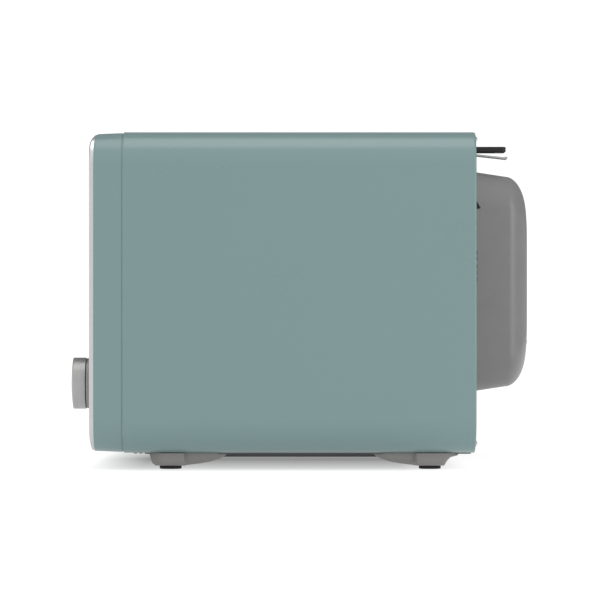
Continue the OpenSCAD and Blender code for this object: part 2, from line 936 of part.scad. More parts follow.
// Microswitch body behind the front plate.
module door_switch() {
    color([0.12, 0.12, 0.12])
    difference() {
        block([switch_x - 3, switch_x + 3], [cavity_y + 0.5, cavity_y + 20],
            [switch_z - 6, switch_z + 6]);
        rod_y(switch_x, switch_z, cavity_y, cavity_y + 11, plunger_r + running_play);
    }
}

module switch_plunger() {
    color([0.8, 0.3, 0.2])
    rod_y(switch_x, switch_z, door_rear + 0.3, cavity_y + 9, plunger_r);
}

// ---- Rack and trays ----

// Welded wire rack: a rim of heavy wire and a row of thin ones.
module wire_rack() {
    x0 = rack_x[0] + rim_r;
    x1 = rack_x[1] - rim_r;
    y0 = rack_y[0] + rim_r;
    y1 = rack_y[1] - rim_r;
    pitch = (x1 - x0) / (rack_wires + 1);
    color([0.75, 0.75, 0.76])
    union() {
        for (x = [x0, x1]) {
            rod_y(x, rack_z, y0, y1, rim_r);
            for (y = [y0, y1])
                translate([x, y, rack_z])
                    sphere(rim_r, $fn = 32);
        }
        for (y = [y0, y1])
            rod_x(y, rack_z, x0, x1, rim_r);
        for (i = [1:rack_wires])
            rod_y(x0 + i * pitch, rack_z + 1.2, y0, y1, rack_wire_dia / 2);
    }
}

// Pressed baking tray that stands on the rack.
module baking_tray() {
    tray_x = [rack_x[0] + 14, rack_x[1] - 14];
    tray_y = [rack_y[0] + 18, rack_y[1] - 12];
    tray_z = rack_z + 1.2 + rack_wire_dia / 2 + 0.1;
    depth = 22;
    rim = 6;
    color([0.3, 0.3, 0.31])
    translate([0, 0, tray_z])
        union() {
            difference() {
                linear_extrude(depth)
                    round_range(tray_x, tray_y, 16);
                translate([0, 0, sheet])
                    linear_extrude(depth)
                        round_range([tray_x[0] + sheet, tray_x[1] - sheet],
                            [tray_y[0] + sheet, tray_y[1] - sheet], 15);
            }
            translate([0, 0, depth - sheet])
                linear_extrude(sheet)
                    difference() {
                        round_range([tray_x[0] - rim, tray_x[1] + rim],
                            [tray_y[0] - rim, tray_y[1] + rim], 22);
                        round_range([tray_x[0] + sheet, tray_x[1] - sheet],
                            [tray_y[0] + sheet, tray_y[1] - sheet], 15);
                    }
        }
}

// Crumb tray: a shallow pan under the lower elements with a finger pull in its front.
module crumb_tray() {
    front_x = [tray_hole_x[0] + 1, tray_hole_x[1] - 1];
    front_z = [tray_hole_z[0] + 0.8, tray_hole_z[1] - 0.8];
    front_end = face_y + crumb_front_t;
    rim_z = crumb_z + 9.5;
    pull_x = [cavity_mid - 40, cavity_mid + 40];
    color([0.75, 0.76, 0.76])
    difference() {
        union() {
            along_y(face_y, front_end)
                round_range(front_x, front_z, 2);
            block(crumb_x, [front_end - 1, cavity_end - 6], [crumb_z, rim_z]);
        }
        block([crumb_x[0] + sheet, crumb_x[1] - sheet], [front_end, cavity_end - 6 - sheet],
            [crumb_z + sheet, rim_z + 1]);
        block(pull_x, [face_y - 1, face_y + 8.5], [front_z[0] + 1.7, front_z[1] - 3.5]);
        block(pull_x, [face_y + 2.5, face_y + 8.5], [front_z[0] + 1.7, front_z[1] - 1.5]);
    }
}

outer_wrap();
front_frame();
fascia();
front_plate();
base_plate();
rear_panel();
rear_cover();
exhaust_hood();
exhaust_deflector();
cord_gland();
foot_front_left();
foot_front_right();
foot_rear_left();
foot_rear_right();
foot_pads();
rear_panel_screws();
rear_cover_screws();
cavity_left_wall();
cavity_right_wall();
cavity_top();
cavity_floor();
cavity_rear_wall();
runner_left();
runner_right();
upper_elements();
lower_elements();
element_insulators();
temperature_probe();
lamp_lens();
fan_guard();
fan_chamber();
convection_element();
fan_motor();
fan_impeller();
fan_shaft();
control_panel();
display_glass();
control_board();
power_board();
encoder_body();
encoder_shaft();
knob_ring();
knob_cap();
button_upper_left();
button_upper_right();
button_lower_left();
button_lower_right();
hinge_brackets();
hinge_pins();
door_switch();
switch_plunger();
door_frame();
door_glass();
door_inner_panel();
door_inner_glass();
door_seal();
door_grip();
wire_rack();
baking_tray();
crumb_tray();
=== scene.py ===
"""Looks of a countertop toaster oven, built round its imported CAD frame.

Metres in the row frame: +X is the user's right, +Y the back, +Z up.
"""

import math

import bmesh
import bpy
from mathutils import Matrix, Vector


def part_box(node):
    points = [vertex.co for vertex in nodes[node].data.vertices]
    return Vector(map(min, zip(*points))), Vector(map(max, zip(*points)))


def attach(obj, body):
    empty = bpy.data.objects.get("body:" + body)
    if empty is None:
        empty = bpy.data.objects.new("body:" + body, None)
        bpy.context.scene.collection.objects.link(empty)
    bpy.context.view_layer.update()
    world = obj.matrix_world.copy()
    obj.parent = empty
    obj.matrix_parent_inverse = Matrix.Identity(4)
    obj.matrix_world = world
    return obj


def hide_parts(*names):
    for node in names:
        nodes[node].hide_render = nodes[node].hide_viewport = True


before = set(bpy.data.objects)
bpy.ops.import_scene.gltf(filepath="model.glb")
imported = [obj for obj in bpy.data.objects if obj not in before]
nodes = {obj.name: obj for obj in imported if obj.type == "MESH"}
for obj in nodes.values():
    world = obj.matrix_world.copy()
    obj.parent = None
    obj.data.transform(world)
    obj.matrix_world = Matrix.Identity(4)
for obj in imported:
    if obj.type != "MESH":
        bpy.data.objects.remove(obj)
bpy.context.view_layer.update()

MM = 0.001
SAME_POINT = 2e-6

# ---- Where things are, from the frame ----

wrap_lo, wrap_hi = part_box("outer_wrap")
base_lo, base_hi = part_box("base_plate")
face_lo, face_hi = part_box("fascia")
ring_lo, ring_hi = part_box("front_frame")
HALF_W = wrap_hi.x
TOP_Z = wrap_hi.z
LOW_Z = base_hi.z
CORNER_R = 30 * MM
LIP_X = 195 * MM
PANEL_Y = wrap_hi.y - 1.4 * MM

cover_lo, cover_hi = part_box("rear_cover")
COVER_X = (cover_lo.x + cover_hi.x) / 2
COVER_Z = (cover_lo.z + cover_hi.z) / 2
COVER_W = cover_hi.x - cover_lo.x - 14 * MM
COVER_H = cover_hi.z - cover_lo.z - 12 * MM
GLAND_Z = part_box("cord_gland")[0].z + 11 * MM

LOUVRES = 5
LOUVRE_X = (130 * MM, 225 * MM)
LOUVRE_Z = 162.8 * MM
LOUVRE_PITCH = 5.8 * MM

pad_lo, pad_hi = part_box("foot_pads")
PAD_R = 9.5 * MM
FOOT_X = pad_hi.x - PAD_R
FRONT_PAD_Y = pad_lo.y + PAD_R
REAR_PAD_Y = pad_hi.y - PAD_R
FOOT_DEPTH = 13.3
FOOT_END = 49
FRONT_TOE = ((-18, FOOT_DEPTH), (-16.5, 7), (-15, 4.4), (-12.7, 2.8))
REAR_TOE = ((-24, FOOT_DEPTH), (-24, 11.7), (-17.5, 10.2), (-14.9, 7.7), (-12, 2.8))
BUTTONS = {"button_upper_left": "button_1", "button_upper_right": "button_2",
           "button_lower_left": "button_3", "button_lower_right": "button_4"}


# ---- Mesh helpers ----

def build(name, bm, material, body, replaced=(), sharp=38):
    """Makes a smooth-shaded object of a bmesh and places it on its body."""
    bmesh.ops.remove_doubles(bm, verts=bm.verts, dist=SAME_POINT)
    bmesh.ops.recalc_face_normals(bm, faces=bm.faces)
    limit = math.radians(sharp)
    for face in bm.faces:
        face.smooth = True
    for edge in bm.edges:
        edge.smooth = edge.calc_face_angle(0) < limit
    mesh = bpy.data.meshes.new(name)
    bm.to_mesh(mesh)
    bm.free()
    obj = bpy.data.objects.new(name, mesh)
    bpy.context.scene.collection.objects.link(obj)
    obj.data.materials.append(material)
    modifier = obj.modifiers.new("even_normals", "WEIGHTED_NORMAL")
    modifier.keep_sharp = True
    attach(obj, body)
    if replaced:
        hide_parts(*replaced)
    return obj


def join(parts):
    """One bmesh that holds the faces of several."""
    whole = bmesh.new()
    for part in parts:
        mesh = bpy.data.meshes.new("part")
        part.to_mesh(mesh)
        part.free()
        whole.from_mesh(mesh)
        bpy.data.meshes.remove(mesh)
    return whole


def skin(rings, closed=True, around=True):
    """Quads between rings of points. closed joins a ring's ends; around joins the last ring to the first."""
    bm = bmesh.new()
    rows = [[bm.verts.new(p) for p in ring] for ring in rings]
    count = len(rows[0])
    pairs = list(zip(rows, rows[1:]))
    if around:
        pairs.append((rows[-1], rows[0]))
    for a, b in pairs:
        for i in range(count if closed else count - 1):
            j = (i + 1) % count
            bm.faces.new((a[i], a[j], b[j], b[i]))
    if not around:
        bm.faces.new(rows[0])
        bm.faces.new(list(reversed(rows[-1])))
    if not closed:
        bm.faces.new([row[0] for row in rows])
        bm.faces.new([row[-1] for row in reversed(rows)])
    return bm


def arc(cx, cy, r, start, end, steps):
    """Points on an arc, with its ends, in degrees."""
    angles = [math.radians(start + (end - start) * k / steps) for k in range(steps + 1)]
    return [(cx + r * math.cos(a), cy + r * math.sin(a)) for a in angles]


def round_path(x0, x1, y0, y1, r, steps=10):
    """A rectangle's outline with round corners, anticlockwise from the low right corner."""
    return (arc(x1 - r, y0 + r, r, -90, 0, steps) + arc(x1 - r, y1 - r, r, 0, 90, steps)
            + arc(x0 + r, y1 - r, r, 90, 180, steps) + arc(x0 + r, y0 + r, r, 180, 270, steps))


def padded_path(lo, hi, gap, r, steps):
    """A rounded outline round a box seen from the front, grown by a gap."""
    return round_path(lo.x - gap, hi.x + gap, lo.z - gap, hi.z + gap, r, steps)


def door_path(x0, x1, y0, y1, r, low=1 * MM, steps=12):
    """The door's outline: round upper corners and nearly square lower ones."""
    return (arc(x1 - low, y0 + low, low, -90, 0, 3) + arc(x1 - r, y1 - r, r, 0, 90, steps)
            + arc(x0 + r, y1 - r, r, 90, 180, steps) + arc(x0 + low, y0 + low, low, 180, 270, 3))


def circle_path(cx, cy, r, steps=48):
    """A circle's outline."""
    return arc(cx, cy, r, 0, 360 - 360 / steps, steps - 1)


def cabinet_path(inset, steps=24):
    """The cabinet's outline seen from the front, drawn in by an inset."""
    return round_path(-HALF_W + inset, HALF_W - inset, LOW_Z + inset, TOP_Z - inset,
                      CORNER_R - inset, steps)


def plate(outlines, depth, bevel, bevel_steps=3):
    """A flat plate with holes and round edges, in XY, from z = 0 to z = depth."""
    curve = bpy.data.curves.new("plate", "CURVE")
    curve.dimensions = "2D"
    curve.fill_mode = "BOTH"
    curve.extrude = depth / 2 - bevel
    curve.bevel_depth = bevel
    curve.bevel_resolution = bevel_steps
    curve.offset = -bevel
    for outline in outlines:
        spline = curve.splines.new("POLY")
        spline.points.add(len(outline) - 1)
        for point, (x, y) in zip(spline.points, outline):
            point.co = (x, y, 0, 1)
        spline.use_cyclic_u = True
    obj = bpy.data.objects.new("plate", curve)
    bpy.context.scene.collection.objects.link(obj)
    graph = bpy.context.evaluated_depsgraph_get()
    mesh = bpy.data.meshes.new_from_object(obj.evaluated_get(graph))
    bpy.data.objects.remove(obj)
    bpy.data.curves.remove(curve)
    bm = bmesh.new()
    bm.from_mesh(mesh)
    bpy.data.meshes.remove(mesh)
    bmesh.ops.remove_doubles(bm, verts=bm.verts, dist=SAME_POINT)
    bmesh.ops.translate(bm, verts=bm.verts, vec=(0, 0, depth / 2))
    return bm


def stand(bm, y0):
    """Turns an XY plate so that its plane is XZ and its depth runs from y0 towards the back."""
    swap = Matrix(((1, 0, 0, 0), (0, 0, 1, 0), (0, 1, 0, 0), (0, 0, 0, 1)))
    return moved(bm, Matrix.Translation((0, y0, 0)) @ swap)


def revolve(profile, steps=96):
    """A solid of revolution about Z from (radius, height) points, closed by flat ends."""
    return lathe(profile, steps, around=False)


def lathe(profile, steps=96, around=True):
    """A ring of revolution about Z: the profile is a closed loop that keeps off the axis."""
    turns = [2 * math.pi * k / steps for k in range(steps)]
    rings = [[Vector((r * math.cos(a), r * math.sin(a), h)) for a in turns] for r, h in profile]
    return skin(rings, closed=True, around=around)


def moved(bm, matrix):
    """The bmesh after a transform."""
    bmesh.ops.transform(bm, matrix=matrix, verts=bm.verts)
    return bm


def facing_front(x, y, z):
    """Carries a solid of revolution to a point, with its height running towards -Y."""
    return Matrix.Translation((x, y, z)) @ Matrix.Rotation(math.radians(90), 4, "X")


def facing_back(x, y, z):
    """Carries a solid of revolution to a point, with its height running towards +Y."""
    return Matrix.Translation((x, y, z)) @ Matrix.Rotation(math.radians(-90), 4, "X")


def extrude_x(profile, x0, x1, bevel=0.0, steps=3):
    """A YZ profile drawn out along X with its ends drawn in by a small bevel."""
    centre = Vector((sum(p[0] for p in profile) / len(profile), sum(p[1] for p in profile) / len(profile)))
    reach = max((Vector(p) - centre).length for p in profile)
    turns = [math.pi / 2 * k / steps for k in range(1, steps + 1)]
    stations = [(x0, bevel), *[(x0 + bevel * (1 - math.cos(a)), bevel * (1 - math.sin(a))) for a in turns]]
    stations += [(x0 + x1 - x, b) for x, b in reversed(stations)]
    rings = []
    for x, draw in stations:
        scale = 1 - draw / reach
        rings.append([Vector((x, centre.x + (p[0] - centre.x) * scale, centre.y + (p[1] - centre.y) * scale))
                      for p in profile])
    return skin(rings, closed=True, around=False)


def tube(points, r, sides=16, closed=False):
    """A round bar along a path, by rings that turn with it."""
    points = [Vector(p) for p in points]
    count = len(points)
    turns = [2 * math.pi * k / sides for k in range(sides)]
    rings = []
    side = None
    for i, point in enumerate(points):
        ahead = points[(i + 1) % count] if closed or i + 1 < count else points[i]
        behind = points[i - 1] if closed or i > 0 else points[i]
        along = (ahead - behind).normalized()
        if side is None:
            side = along.orthogonal().normalized()
        side = (side - along * side.dot(along)).normalized()
        up = along.cross(side)
        rings.append([point + r * (math.cos(a) * side + math.sin(a) * up) for a in turns])
    return skin(rings, closed=True, around=closed)


# ---- Materials ----

def new_material(name):
    """A material with its node tree and its shader."""
    material = bpy.data.materials.new(name)
    material.use_nodes = True
    tree = material.node_tree
    return material, tree, tree.nodes["Principled BSDF"]


def add(tree, kind, **inputs):
    """A node with its inputs set by name."""
    node = tree.nodes.new(kind)
    for key, value in inputs.items():
        node.inputs[key.replace("_", " ")].default_value = value
    return node


def noise(tree, scale, detail=3.0, stretch=(1, 1, 1)):
    """Noise over the object's own coordinates, in cycles per metre, stretched per axis."""
    coords = tree.nodes.new("ShaderNodeTexCoord")
    mapping = add(tree, "ShaderNodeMapping", Scale=stretch)
    texture = add(tree, "ShaderNodeTexNoise", Scale=scale, Detail=detail)
    tree.links.new(coords.outputs["Object"], mapping.inputs["Vector"])
    tree.links.new(mapping.outputs["Vector"], texture.inputs["Vector"])
    return texture


def ramp(tree, source, low, high, out_low, out_high):
    """Maps a factor from one range to another."""
    node = add(tree, "ShaderNodeMapRange", From_Min=low, From_Max=high, To_Min=out_low, To_Max=out_high)
    tree.links.new(source, node.inputs["Value"])
    return node.outputs["Result"]


def maths(tree, operation, first, second=None):
    """One sum over two factors, or over a factor and a number."""
    node = tree.nodes.new("ShaderNodeMath")
    node.operation = operation
    tree.links.new(first, node.inputs[0])
    if isinstance(second, float):
        node.inputs[1].default_value = second
    elif second is not None:
        tree.links.new(second, node.inputs[1])
    return node.outputs[0]


def tint(tree, source, dark, light):
    """A colour that runs from dark to light by a factor."""
    node = tree.nodes.new("ShaderNodeMix")
    node.data_type = "RGBA"
    factor, first, second, result = (node.inputs[0], node.inputs[6], node.inputs[7], node.outputs[2])
    first.default_value = (*dark, 1)
    second.default_value = (*light, 1)
    tree.links.new(source, factor)
    return result


def bump(tree, source, shader, strength, distance):
    """Feeds a height into the shader's normal."""
    node = add(tree, "ShaderNodeBump", Strength=strength, Distance=distance)
    tree.links.new(source, node.inputs["Height"])
    tree.links.new(node.outputs["Normal"], shader.inputs["Normal"])


def shade(colour, factor):
    """A colour made darker or lighter."""
    return tuple(min(1.0, c * factor) for c in colour)


def surface(name, colour, rough=0.5, rough_spread=0.08, metallic=0.0, scale=400, stretch=(1, 1, 1),
            spread=0.06, bump_depth=0.0, bump_scale=None, coat=0.0, specular=0.5, anisotropy=0.0,
            bump_stretch=None):
    """The common material: colour and roughness that vary a little, over a fine bump."""
    material, tree, shader = new_material(name)
    cloud = noise(tree, scale, 4.0, stretch)
    factor = ramp(tree, cloud.outputs["Fac"], 0.3, 0.7, 0.0, 1.0)
    colour_out = tint(tree, factor, shade(colour, 1 - spread), shade(colour, 1 + spread))
    tree.links.new(colour_out, shader.inputs["Base Color"])
    rough_out = ramp(tree, cloud.outputs["Fac"], 0.3, 0.7, rough - rough_spread, rough + rough_spread)
    tree.links.new(rough_out, shader.inputs["Roughness"])
    shader.inputs["Metallic"].default_value = metallic
    shader.inputs["Specular IOR Level"].default_value = specular
    shader.inputs["Coat Weight"].default_value = coat
    shader.inputs["Coat Roughness"].default_value = 0.1
    shader.inputs["Anisotropic"].default_value = anisotropy
    if bump_depth:
        grain = noise(tree, bump_scale or scale, 3.0, bump_stretch or stretch)
        bump(tree, grain.outputs["Fac"], shader, 0.35, bump_depth)
    return material


def glass(name, colour, rough, transmission=1.0):
    """Clear or tinted pane with faint smears in its gloss."""
    material, tree, shader = new_material(name)
    smear = noise(tree, 14, 5.0, (1, 1, 2.2))
    rough_out = ramp(tree, smear.outputs["Fac"], 0.35, 0.7, rough, rough + 0.03)
    tree.links.new(rough_out, shader.inputs["Roughness"])
    tone = tint(tree, smear.outputs["Fac"], shade(colour, 0.97), colour)
    tree.links.new(tone, shader.inputs["Base Color"])
    shader.inputs["Transmission Weight"].default_value = transmission
    shader.inputs["IOR"].default_value = 1.5
    return material


paint = surface("sage_paint", (0.16, 0.246, 0.246), rough=0.28, rough_spread=0.008, scale=9, spread=0.005,
                bump_depth=0.00003, bump_scale=900)
silver = surface("brushed_fascia", (0.56, 0.57, 0.57), rough=0.34, rough_spread=0.06, metallic=1.0,
                 scale=60, stretch=(1, 6, 90), spread=0.04, bump_depth=0.00002,
                 bump_scale=120, bump_stretch=(1, 6, 60), anisotropy=0.3)
powder = surface("grey_powder_coat", (0.185, 0.185, 0.185), rough=0.36, rough_spread=0.03, scale=60,
                 spread=0.03, bump_depth=0.00012, bump_scale=1600)
zinc = surface("zinc_sheet", (0.42, 0.43, 0.44), rough=0.42, rough_spread=0.06, metallic=0.9, scale=70,
               spread=0.06, bump_depth=0.00003, bump_scale=300)
dark_coat = surface("dark_base_coat", (0.1, 0.107, 0.11), rough=0.5, scale=300, spread=0.05, specular=0.3,
                    bump_depth=0.00008, bump_scale=1400)
enamel = surface("speckled_enamel", (0.13, 0.13, 0.135), rough=0.24, rough_spread=0.06, scale=1500,
                 spread=0.4, coat=0.4, bump_depth=0.00003, bump_scale=700)
black_plastic = surface("black_moulding", (0.014, 0.014, 0.015), rough=0.46, scale=500, spread=0.1,
                        specular=0.3, bump_depth=0.00006, bump_scale=2200)
gloss_black = surface("gloss_black_panel", (0.01, 0.01, 0.012), rough=0.14, rough_spread=0.03, scale=20,
                      spread=0.05, specular=0.3, bump_depth=0.00001, bump_scale=200)
foot_plastic = surface("grey_moulding", (0.205, 0.199, 0.194), rough=0.55, scale=350, spread=0.05,
                       bump_depth=0.00007, bump_scale=1800)
rubber = surface("pad_rubber", (0.012, 0.012, 0.012), rough=0.8, scale=600, spread=0.15,
                 bump_depth=0.0001, bump_scale=1500)
screw_metal = surface("plated_screws", (0.7, 0.7, 0.7), rough=0.25, rough_spread=0.06, metallic=1.0,
                      scale=500, spread=0.05)
sheath = surface("heat_darkened_sheath", (0.14, 0.125, 0.115), rough=0.45, rough_spread=0.12, metallic=0.8,
                 scale=110, stretch=(0.3, 1, 1), spread=0.35, bump_depth=0.00004, bump_scale=800)
ceramic = surface("unglazed_ceramic", (0.78, 0.75, 0.68), rough=0.7, scale=700, spread=0.06,
                  bump_depth=0.0001, bump_scale=1500)
cast = surface("fan_aluminium", (0.62, 0.63, 0.64), rough=0.36, rough_spread=0.08, metallic=0.95, scale=160,
               spread=0.08, bump_depth=0.00004, bump_scale=600)
laminate = surface("motor_laminations", (0.3, 0.28, 0.25), rough=0.5, metallic=0.7, scale=40,
                   stretch=(0.05, 40, 0.05), spread=0.35, bump_depth=0.0001, bump_scale=60,
                   bump_stretch=(0.05, 40, 0.05))
board = surface("circuit_board", (0.02, 0.11, 0.05), rough=0.4, scale=220, spread=0.35, coat=0.3,
                bump_depth=0.00006, bump_scale=260)
knob_metal = surface("spun_knob", (0.45, 0.45, 0.445), rough=0.44, rough_spread=0.06, metallic=1.0, scale=30,
                     stretch=(0.5, 60, 0.5), spread=0.16, bump_depth=0.00003, bump_scale=40,
                     bump_stretch=(0.5, 60, 0.5), anisotropy=0.25)
ring_metal = surface("dark_ring", (0.36, 0.346, 0.35), rough=0.5, metallic=0.85, scale=30,
                     stretch=(0.5, 60, 0.5), spread=0.14)
satin_metal = surface("satin_aluminium", (0.6, 0.61, 0.61), rough=0.34, rough_spread=0.06, metallic=1.0,
                      scale=55, stretch=(2, 2, 80), spread=0.06, bump_depth=0.00002, bump_scale=90,
                      bump_stretch=(2, 2, 60), anisotropy=0.3)
silicone = surface("seal_silicone", (0.03, 0.03, 0.031), rough=0.66, scale=300, spread=0.1,
                   bump_depth=0.00005, bump_scale=900)
chrome = surface("rack_wire", (0.74, 0.74, 0.75), rough=0.12, rough_spread=0.05, metallic=1.0, scale=120,
                 spread=0.05, bump_depth=0.00001, bump_scale=500)
non_stick = surface("non_stick_tray", (0.045, 0.045, 0.048), rough=0.36, scale=900, spread=0.25,
                    bump_depth=0.00003, bump_scale=1600)
red_plastic = surface("plunger_red", (0.5, 0.04, 0.03), rough=0.45, scale=700, spread=0.08)
tinted = glass("tinted_pane", (0.1, 0.105, 0.11), 0.03)
clear = glass("clear_pane", (0.93, 0.96, 0.94), 0.02)
display = glass("display_pane", (0.03, 0.035, 0.04), 0.04, 0.3)
cover_screw = surface("painted_screws", (0.07, 0.07, 0.07), rough=0.45, scale=500, spread=0.05)


# ---- Cabinet ----

def crown(z, reach, depth, power):
    """A fall that starts at a reach from an edge, where z is 0, and grows to its depth there."""
    gap = max(0.0, min(1.0, z / reach))
    return depth * (1 - gap) ** power


def frame_crown(z):
    """The painted frame's front edge falls back at the top."""
    return crown(TOP_Z - 1.6 * MM - z, 13 * MM, 2.7 * MM, 2.8)


def fascia_crown(z):
    """The steel fascia's face falls back further, so it thins towards its edge."""
    return (crown(TOP_Z - 2.2 * MM - z, 13 * MM, 4.8 * MM, 2.5)
            + crown(z - LOW_Z - 2 * MM, 16 * MM, 1.8 * MM, 2.2))


def rear_crown(z):
    """The wrap's back edge falls forward towards the worktop."""
    return -crown(z - LOW_Z, 10 * MM, 0.5 * MM, 1.2)


def hem_share(z):
    """The hem is pressed flatter along the bottom, so that corner looks square."""
    return 1.0 - crown(z - LOW_Z, 14 * MM, 0.7, 0.7)


def make_wrap():
    """Painted sheet with a rolled front edge, a hemmed back edge and two lips underneath."""
    front = wrap_lo.y
    rear = wrap_hi.y
    outer = [(0.98, 0.28), (0.5, 0.3), (0.15, 0.45), (0.03, 0.9), (0.0, 1.6)]
    hem = [(0.0, -2.0), (0.12, -1.25), (0.45, -0.62), (0.95, -0.2), (1.5, 0.0), (1.95, -0.2), (2.15, -0.7)]
    inner = [(1.05, -1.25), (1.0, -2.2)]
    stations = [(inset, front + y * MM, False) for inset, y in outer]
    stations += [(inset, rear + y * MM, True) for inset, y in hem + inner]
    stations += [(1.0, front + 3.7 * MM, False), (1.15, front + 0.3 * MM, False)]
    rings = []
    for inset, y, at_rear in stations:
        path = cabinet_path(inset * MM, 28)
        floor = LOW_Z + inset * MM
        path = [(LIP_X, floor)] + path + [(-LIP_X, floor)]
        rings.append([Vector((x, rear + (y - rear) * hem_share(z) + rear_crown(z) if at_rear else y, z))
                      for x, z in path])
    bm = skin(rings, closed=False)
    dimples = []
    dimple = [(1.75 * MM, 0.3 * MM), (1.7 * MM, -0.5 * MM), (1.3 * MM, -0.95 * MM), (0.6 * MM, -1.1 * MM)]
    for sx in (-1, 1):
        for offset in (9.8, 14.5):
            head = revolve(dimple, 24)
            dimples.append(moved(head, Matrix.Translation((sx * 207 * MM, front + offset * MM, LOW_Z))))
    return build("wrap_shell", join([bm, *dimples]), paint, "root", ["outer_wrap"])


def make_front_frame():
    """Painted frame: a small rolled back edge, a slight taper and a crowned front edge."""
    front = ring_lo.y
    rear = ring_hi.y
    stations = [(1.4, rear, 0), (1.15, rear - 0.1 * MM, 0), (0.76, rear - 1.1 * MM, 0),
                (0.72, rear - 1.4 * MM, 0), (1.0, rear - 9 * MM, 0), (1.35, front + 6 * MM, 0.45),
                (1.5, front + 1.6 * MM, 1), (1.56, front + 0.3 * MM, 1), (1.7, front + 0.03 * MM, 1),
                (2.3, front, 1), (6.7, front + 0.6 * MM, 1), (6.7, rear - 2 * MM, 0),
                (3.0, rear - 0.5 * MM, 0)]
    rings = []
    for inset, y, weight in stations:
        rings.append([Vector((x, y + weight * frame_crown(z), z)) for x, z in cabinet_path(inset * MM, 28)])
    return build("front_frame_shell", skin(rings), paint, "root", ["front_frame"], sharp=30)


def make_fascia():
    """Brushed steel fascia with three openings; its rim falls back, and its rear edge sinks in the frame."""
    depth = face_hi.y - face_lo.y
    door_lo, door_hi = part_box("door_frame")
    tray_lo, tray_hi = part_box("crumb_tray")
    panel_lo, panel_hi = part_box("control_panel")
    gap = 1.5 * MM
    buried = 0.8 * MM
    outlines = [cabinet_path(2.2 * MM, 28),
                door_path(door_lo.x - gap, door_hi.x + gap, door_lo.z - 2.5 * MM, door_hi.z + gap, 14 * MM),
                round_path(tray_lo.x - 1 * MM, tray_hi.x + 1 * MM, tray_lo.z - 0.5 * MM,
                           tray_hi.z + 0.8 * MM, 3 * MM),
                padded_path(panel_lo, panel_hi, 1.2 * MM, 14 * MM, 12)]
    bm = stand(plate(outlines, depth + buried, 1.1 * MM, 4), face_lo.y)
    for vert in bm.verts:
        along = min(1.0, (vert.co.y - face_lo.y) / depth)
        z = vert.co.z
        vert.co.y += (1 - along) * fascia_crown(z) + along * frame_crown(z)
    return build("fascia_skin", bm, silver, "root", ["fascia"])


# ---- Back ----

def box_path(cx, cz, half_w, half_h, r, steps=16):
    """A rounded rectangle about a centre."""
    return round_path(cx - half_w, cx + half_w, cz - half_h, cz + half_h, r, steps)


def make_rear_panel():
    """Dark coated back panel with the motor opening and five pressed louvres."""
    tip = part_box("rear_panel")[1].y
    gland_lo, gland_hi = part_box("cord_gland")
    thick = 1.2 * MM
    motor_opening = box_path(COVER_X, COVER_Z, 92 * MM, 88 * MM, 20 * MM)
    gland_hole = circle_path((gland_lo.x + gland_hi.x) / 2, GLAND_Z, 7.2 * MM)
    outlines = [cabinet_path(1.2 * MM, 28), motor_opening, gland_hole]
    parts = [stand(plate(outlines, thick, 0.3 * MM, 2), PANEL_Y - thick)]
    reach = tip - PANEL_Y
    rise, bend = 3.4 * MM, 2.4 * MM
    for i in range(LOUVRES):
        z = LOUVRE_Z + i * LOUVRE_PITCH
        crest = [(PANEL_Y + reach * math.sin(a), z + rise - bend * (1 - math.cos(a)))
                 for a in map(math.radians, range(0, 91, 15))]
        lip = [(tip, z - 0.6 * MM), (tip - 0.7 * MM, z - 0.5 * MM)]
        under = [(y - 0.6 * MM, height - 0.9 * MM) for y, height in reversed(crest[1:-1])]
        under.append((PANEL_Y - 0.2 * MM, z + 2.4 * MM))
        parts.append(extrude_x(crest + lip + under, LOUVRE_X[0], LOUVRE_X[1], 1.2 * MM, 4))
    return build("back_panel_pressed", join(parts), dark_coat, "root", ["rear_panel"])


def cover_ring(y, inset_x, inset_z, r):
    """One outline of the motor cover, drawn in from its root."""
    return [Vector((x, y, z)) for x, z in box_path(COVER_X, COVER_Z, COVER_W / 2 - inset_x * MM,
                                                   COVER_H / 2 - inset_z * MM, r * MM, 20)]


def make_rear_cover():
    """Deep-drawn cover: flat flange, root fillet, drafted walls and a long bend into the back."""
    back = cover_hi.y
    wall = 1.2
    draft = 5.2
    bend, wide, tall = 20.2 * MM, 27, 36
    fillet = 2.4

    def drawn(shrink):
        """Outlines from the bend's start to the flat back."""
        made = []
        for k in range(15):
            a = math.radians(90 * k / 14)
            fold = 1 - math.cos(a)
            y = back - shrink * MM - bend * (1 - math.sin(a))
            made.append(cover_ring(y, draft + shrink + wide * fold, draft + shrink + tall * fold,
                                   29.5 - shrink - 3 * fold))
        return made

    rings = list(reversed(drawn(wall)))
    rings.append(cover_ring(PANEL_Y + 0.6 * MM, wall + 0.2, wall + 0.2, 29))
    rings.append(cover_ring(PANEL_Y, -1.2, -1.2, 31))
    rings.append(cover_ring(PANEL_Y, -6.9, -5.9, 36))
    rings.append(cover_ring(PANEL_Y + 0.7 * MM, -7, -6, 36))
    rings.append(cover_ring(PANEL_Y + 1 * MM, -6.7, -5.7, 35.6))
    for k in range(6):
        a = math.radians(90 * k / 5)
        inset = -fillet * (1 - math.sin(a)) + 0.2 * k / 5
        rings.append(cover_ring(PANEL_Y + (1 + fillet * (1 - math.cos(a))) * MM, inset, inset, 31))
    rings += drawn(0)
    return build("motor_cover_shell", skin(rings, closed=True, around=False), powder, "root",
                 ["rear_cover"])


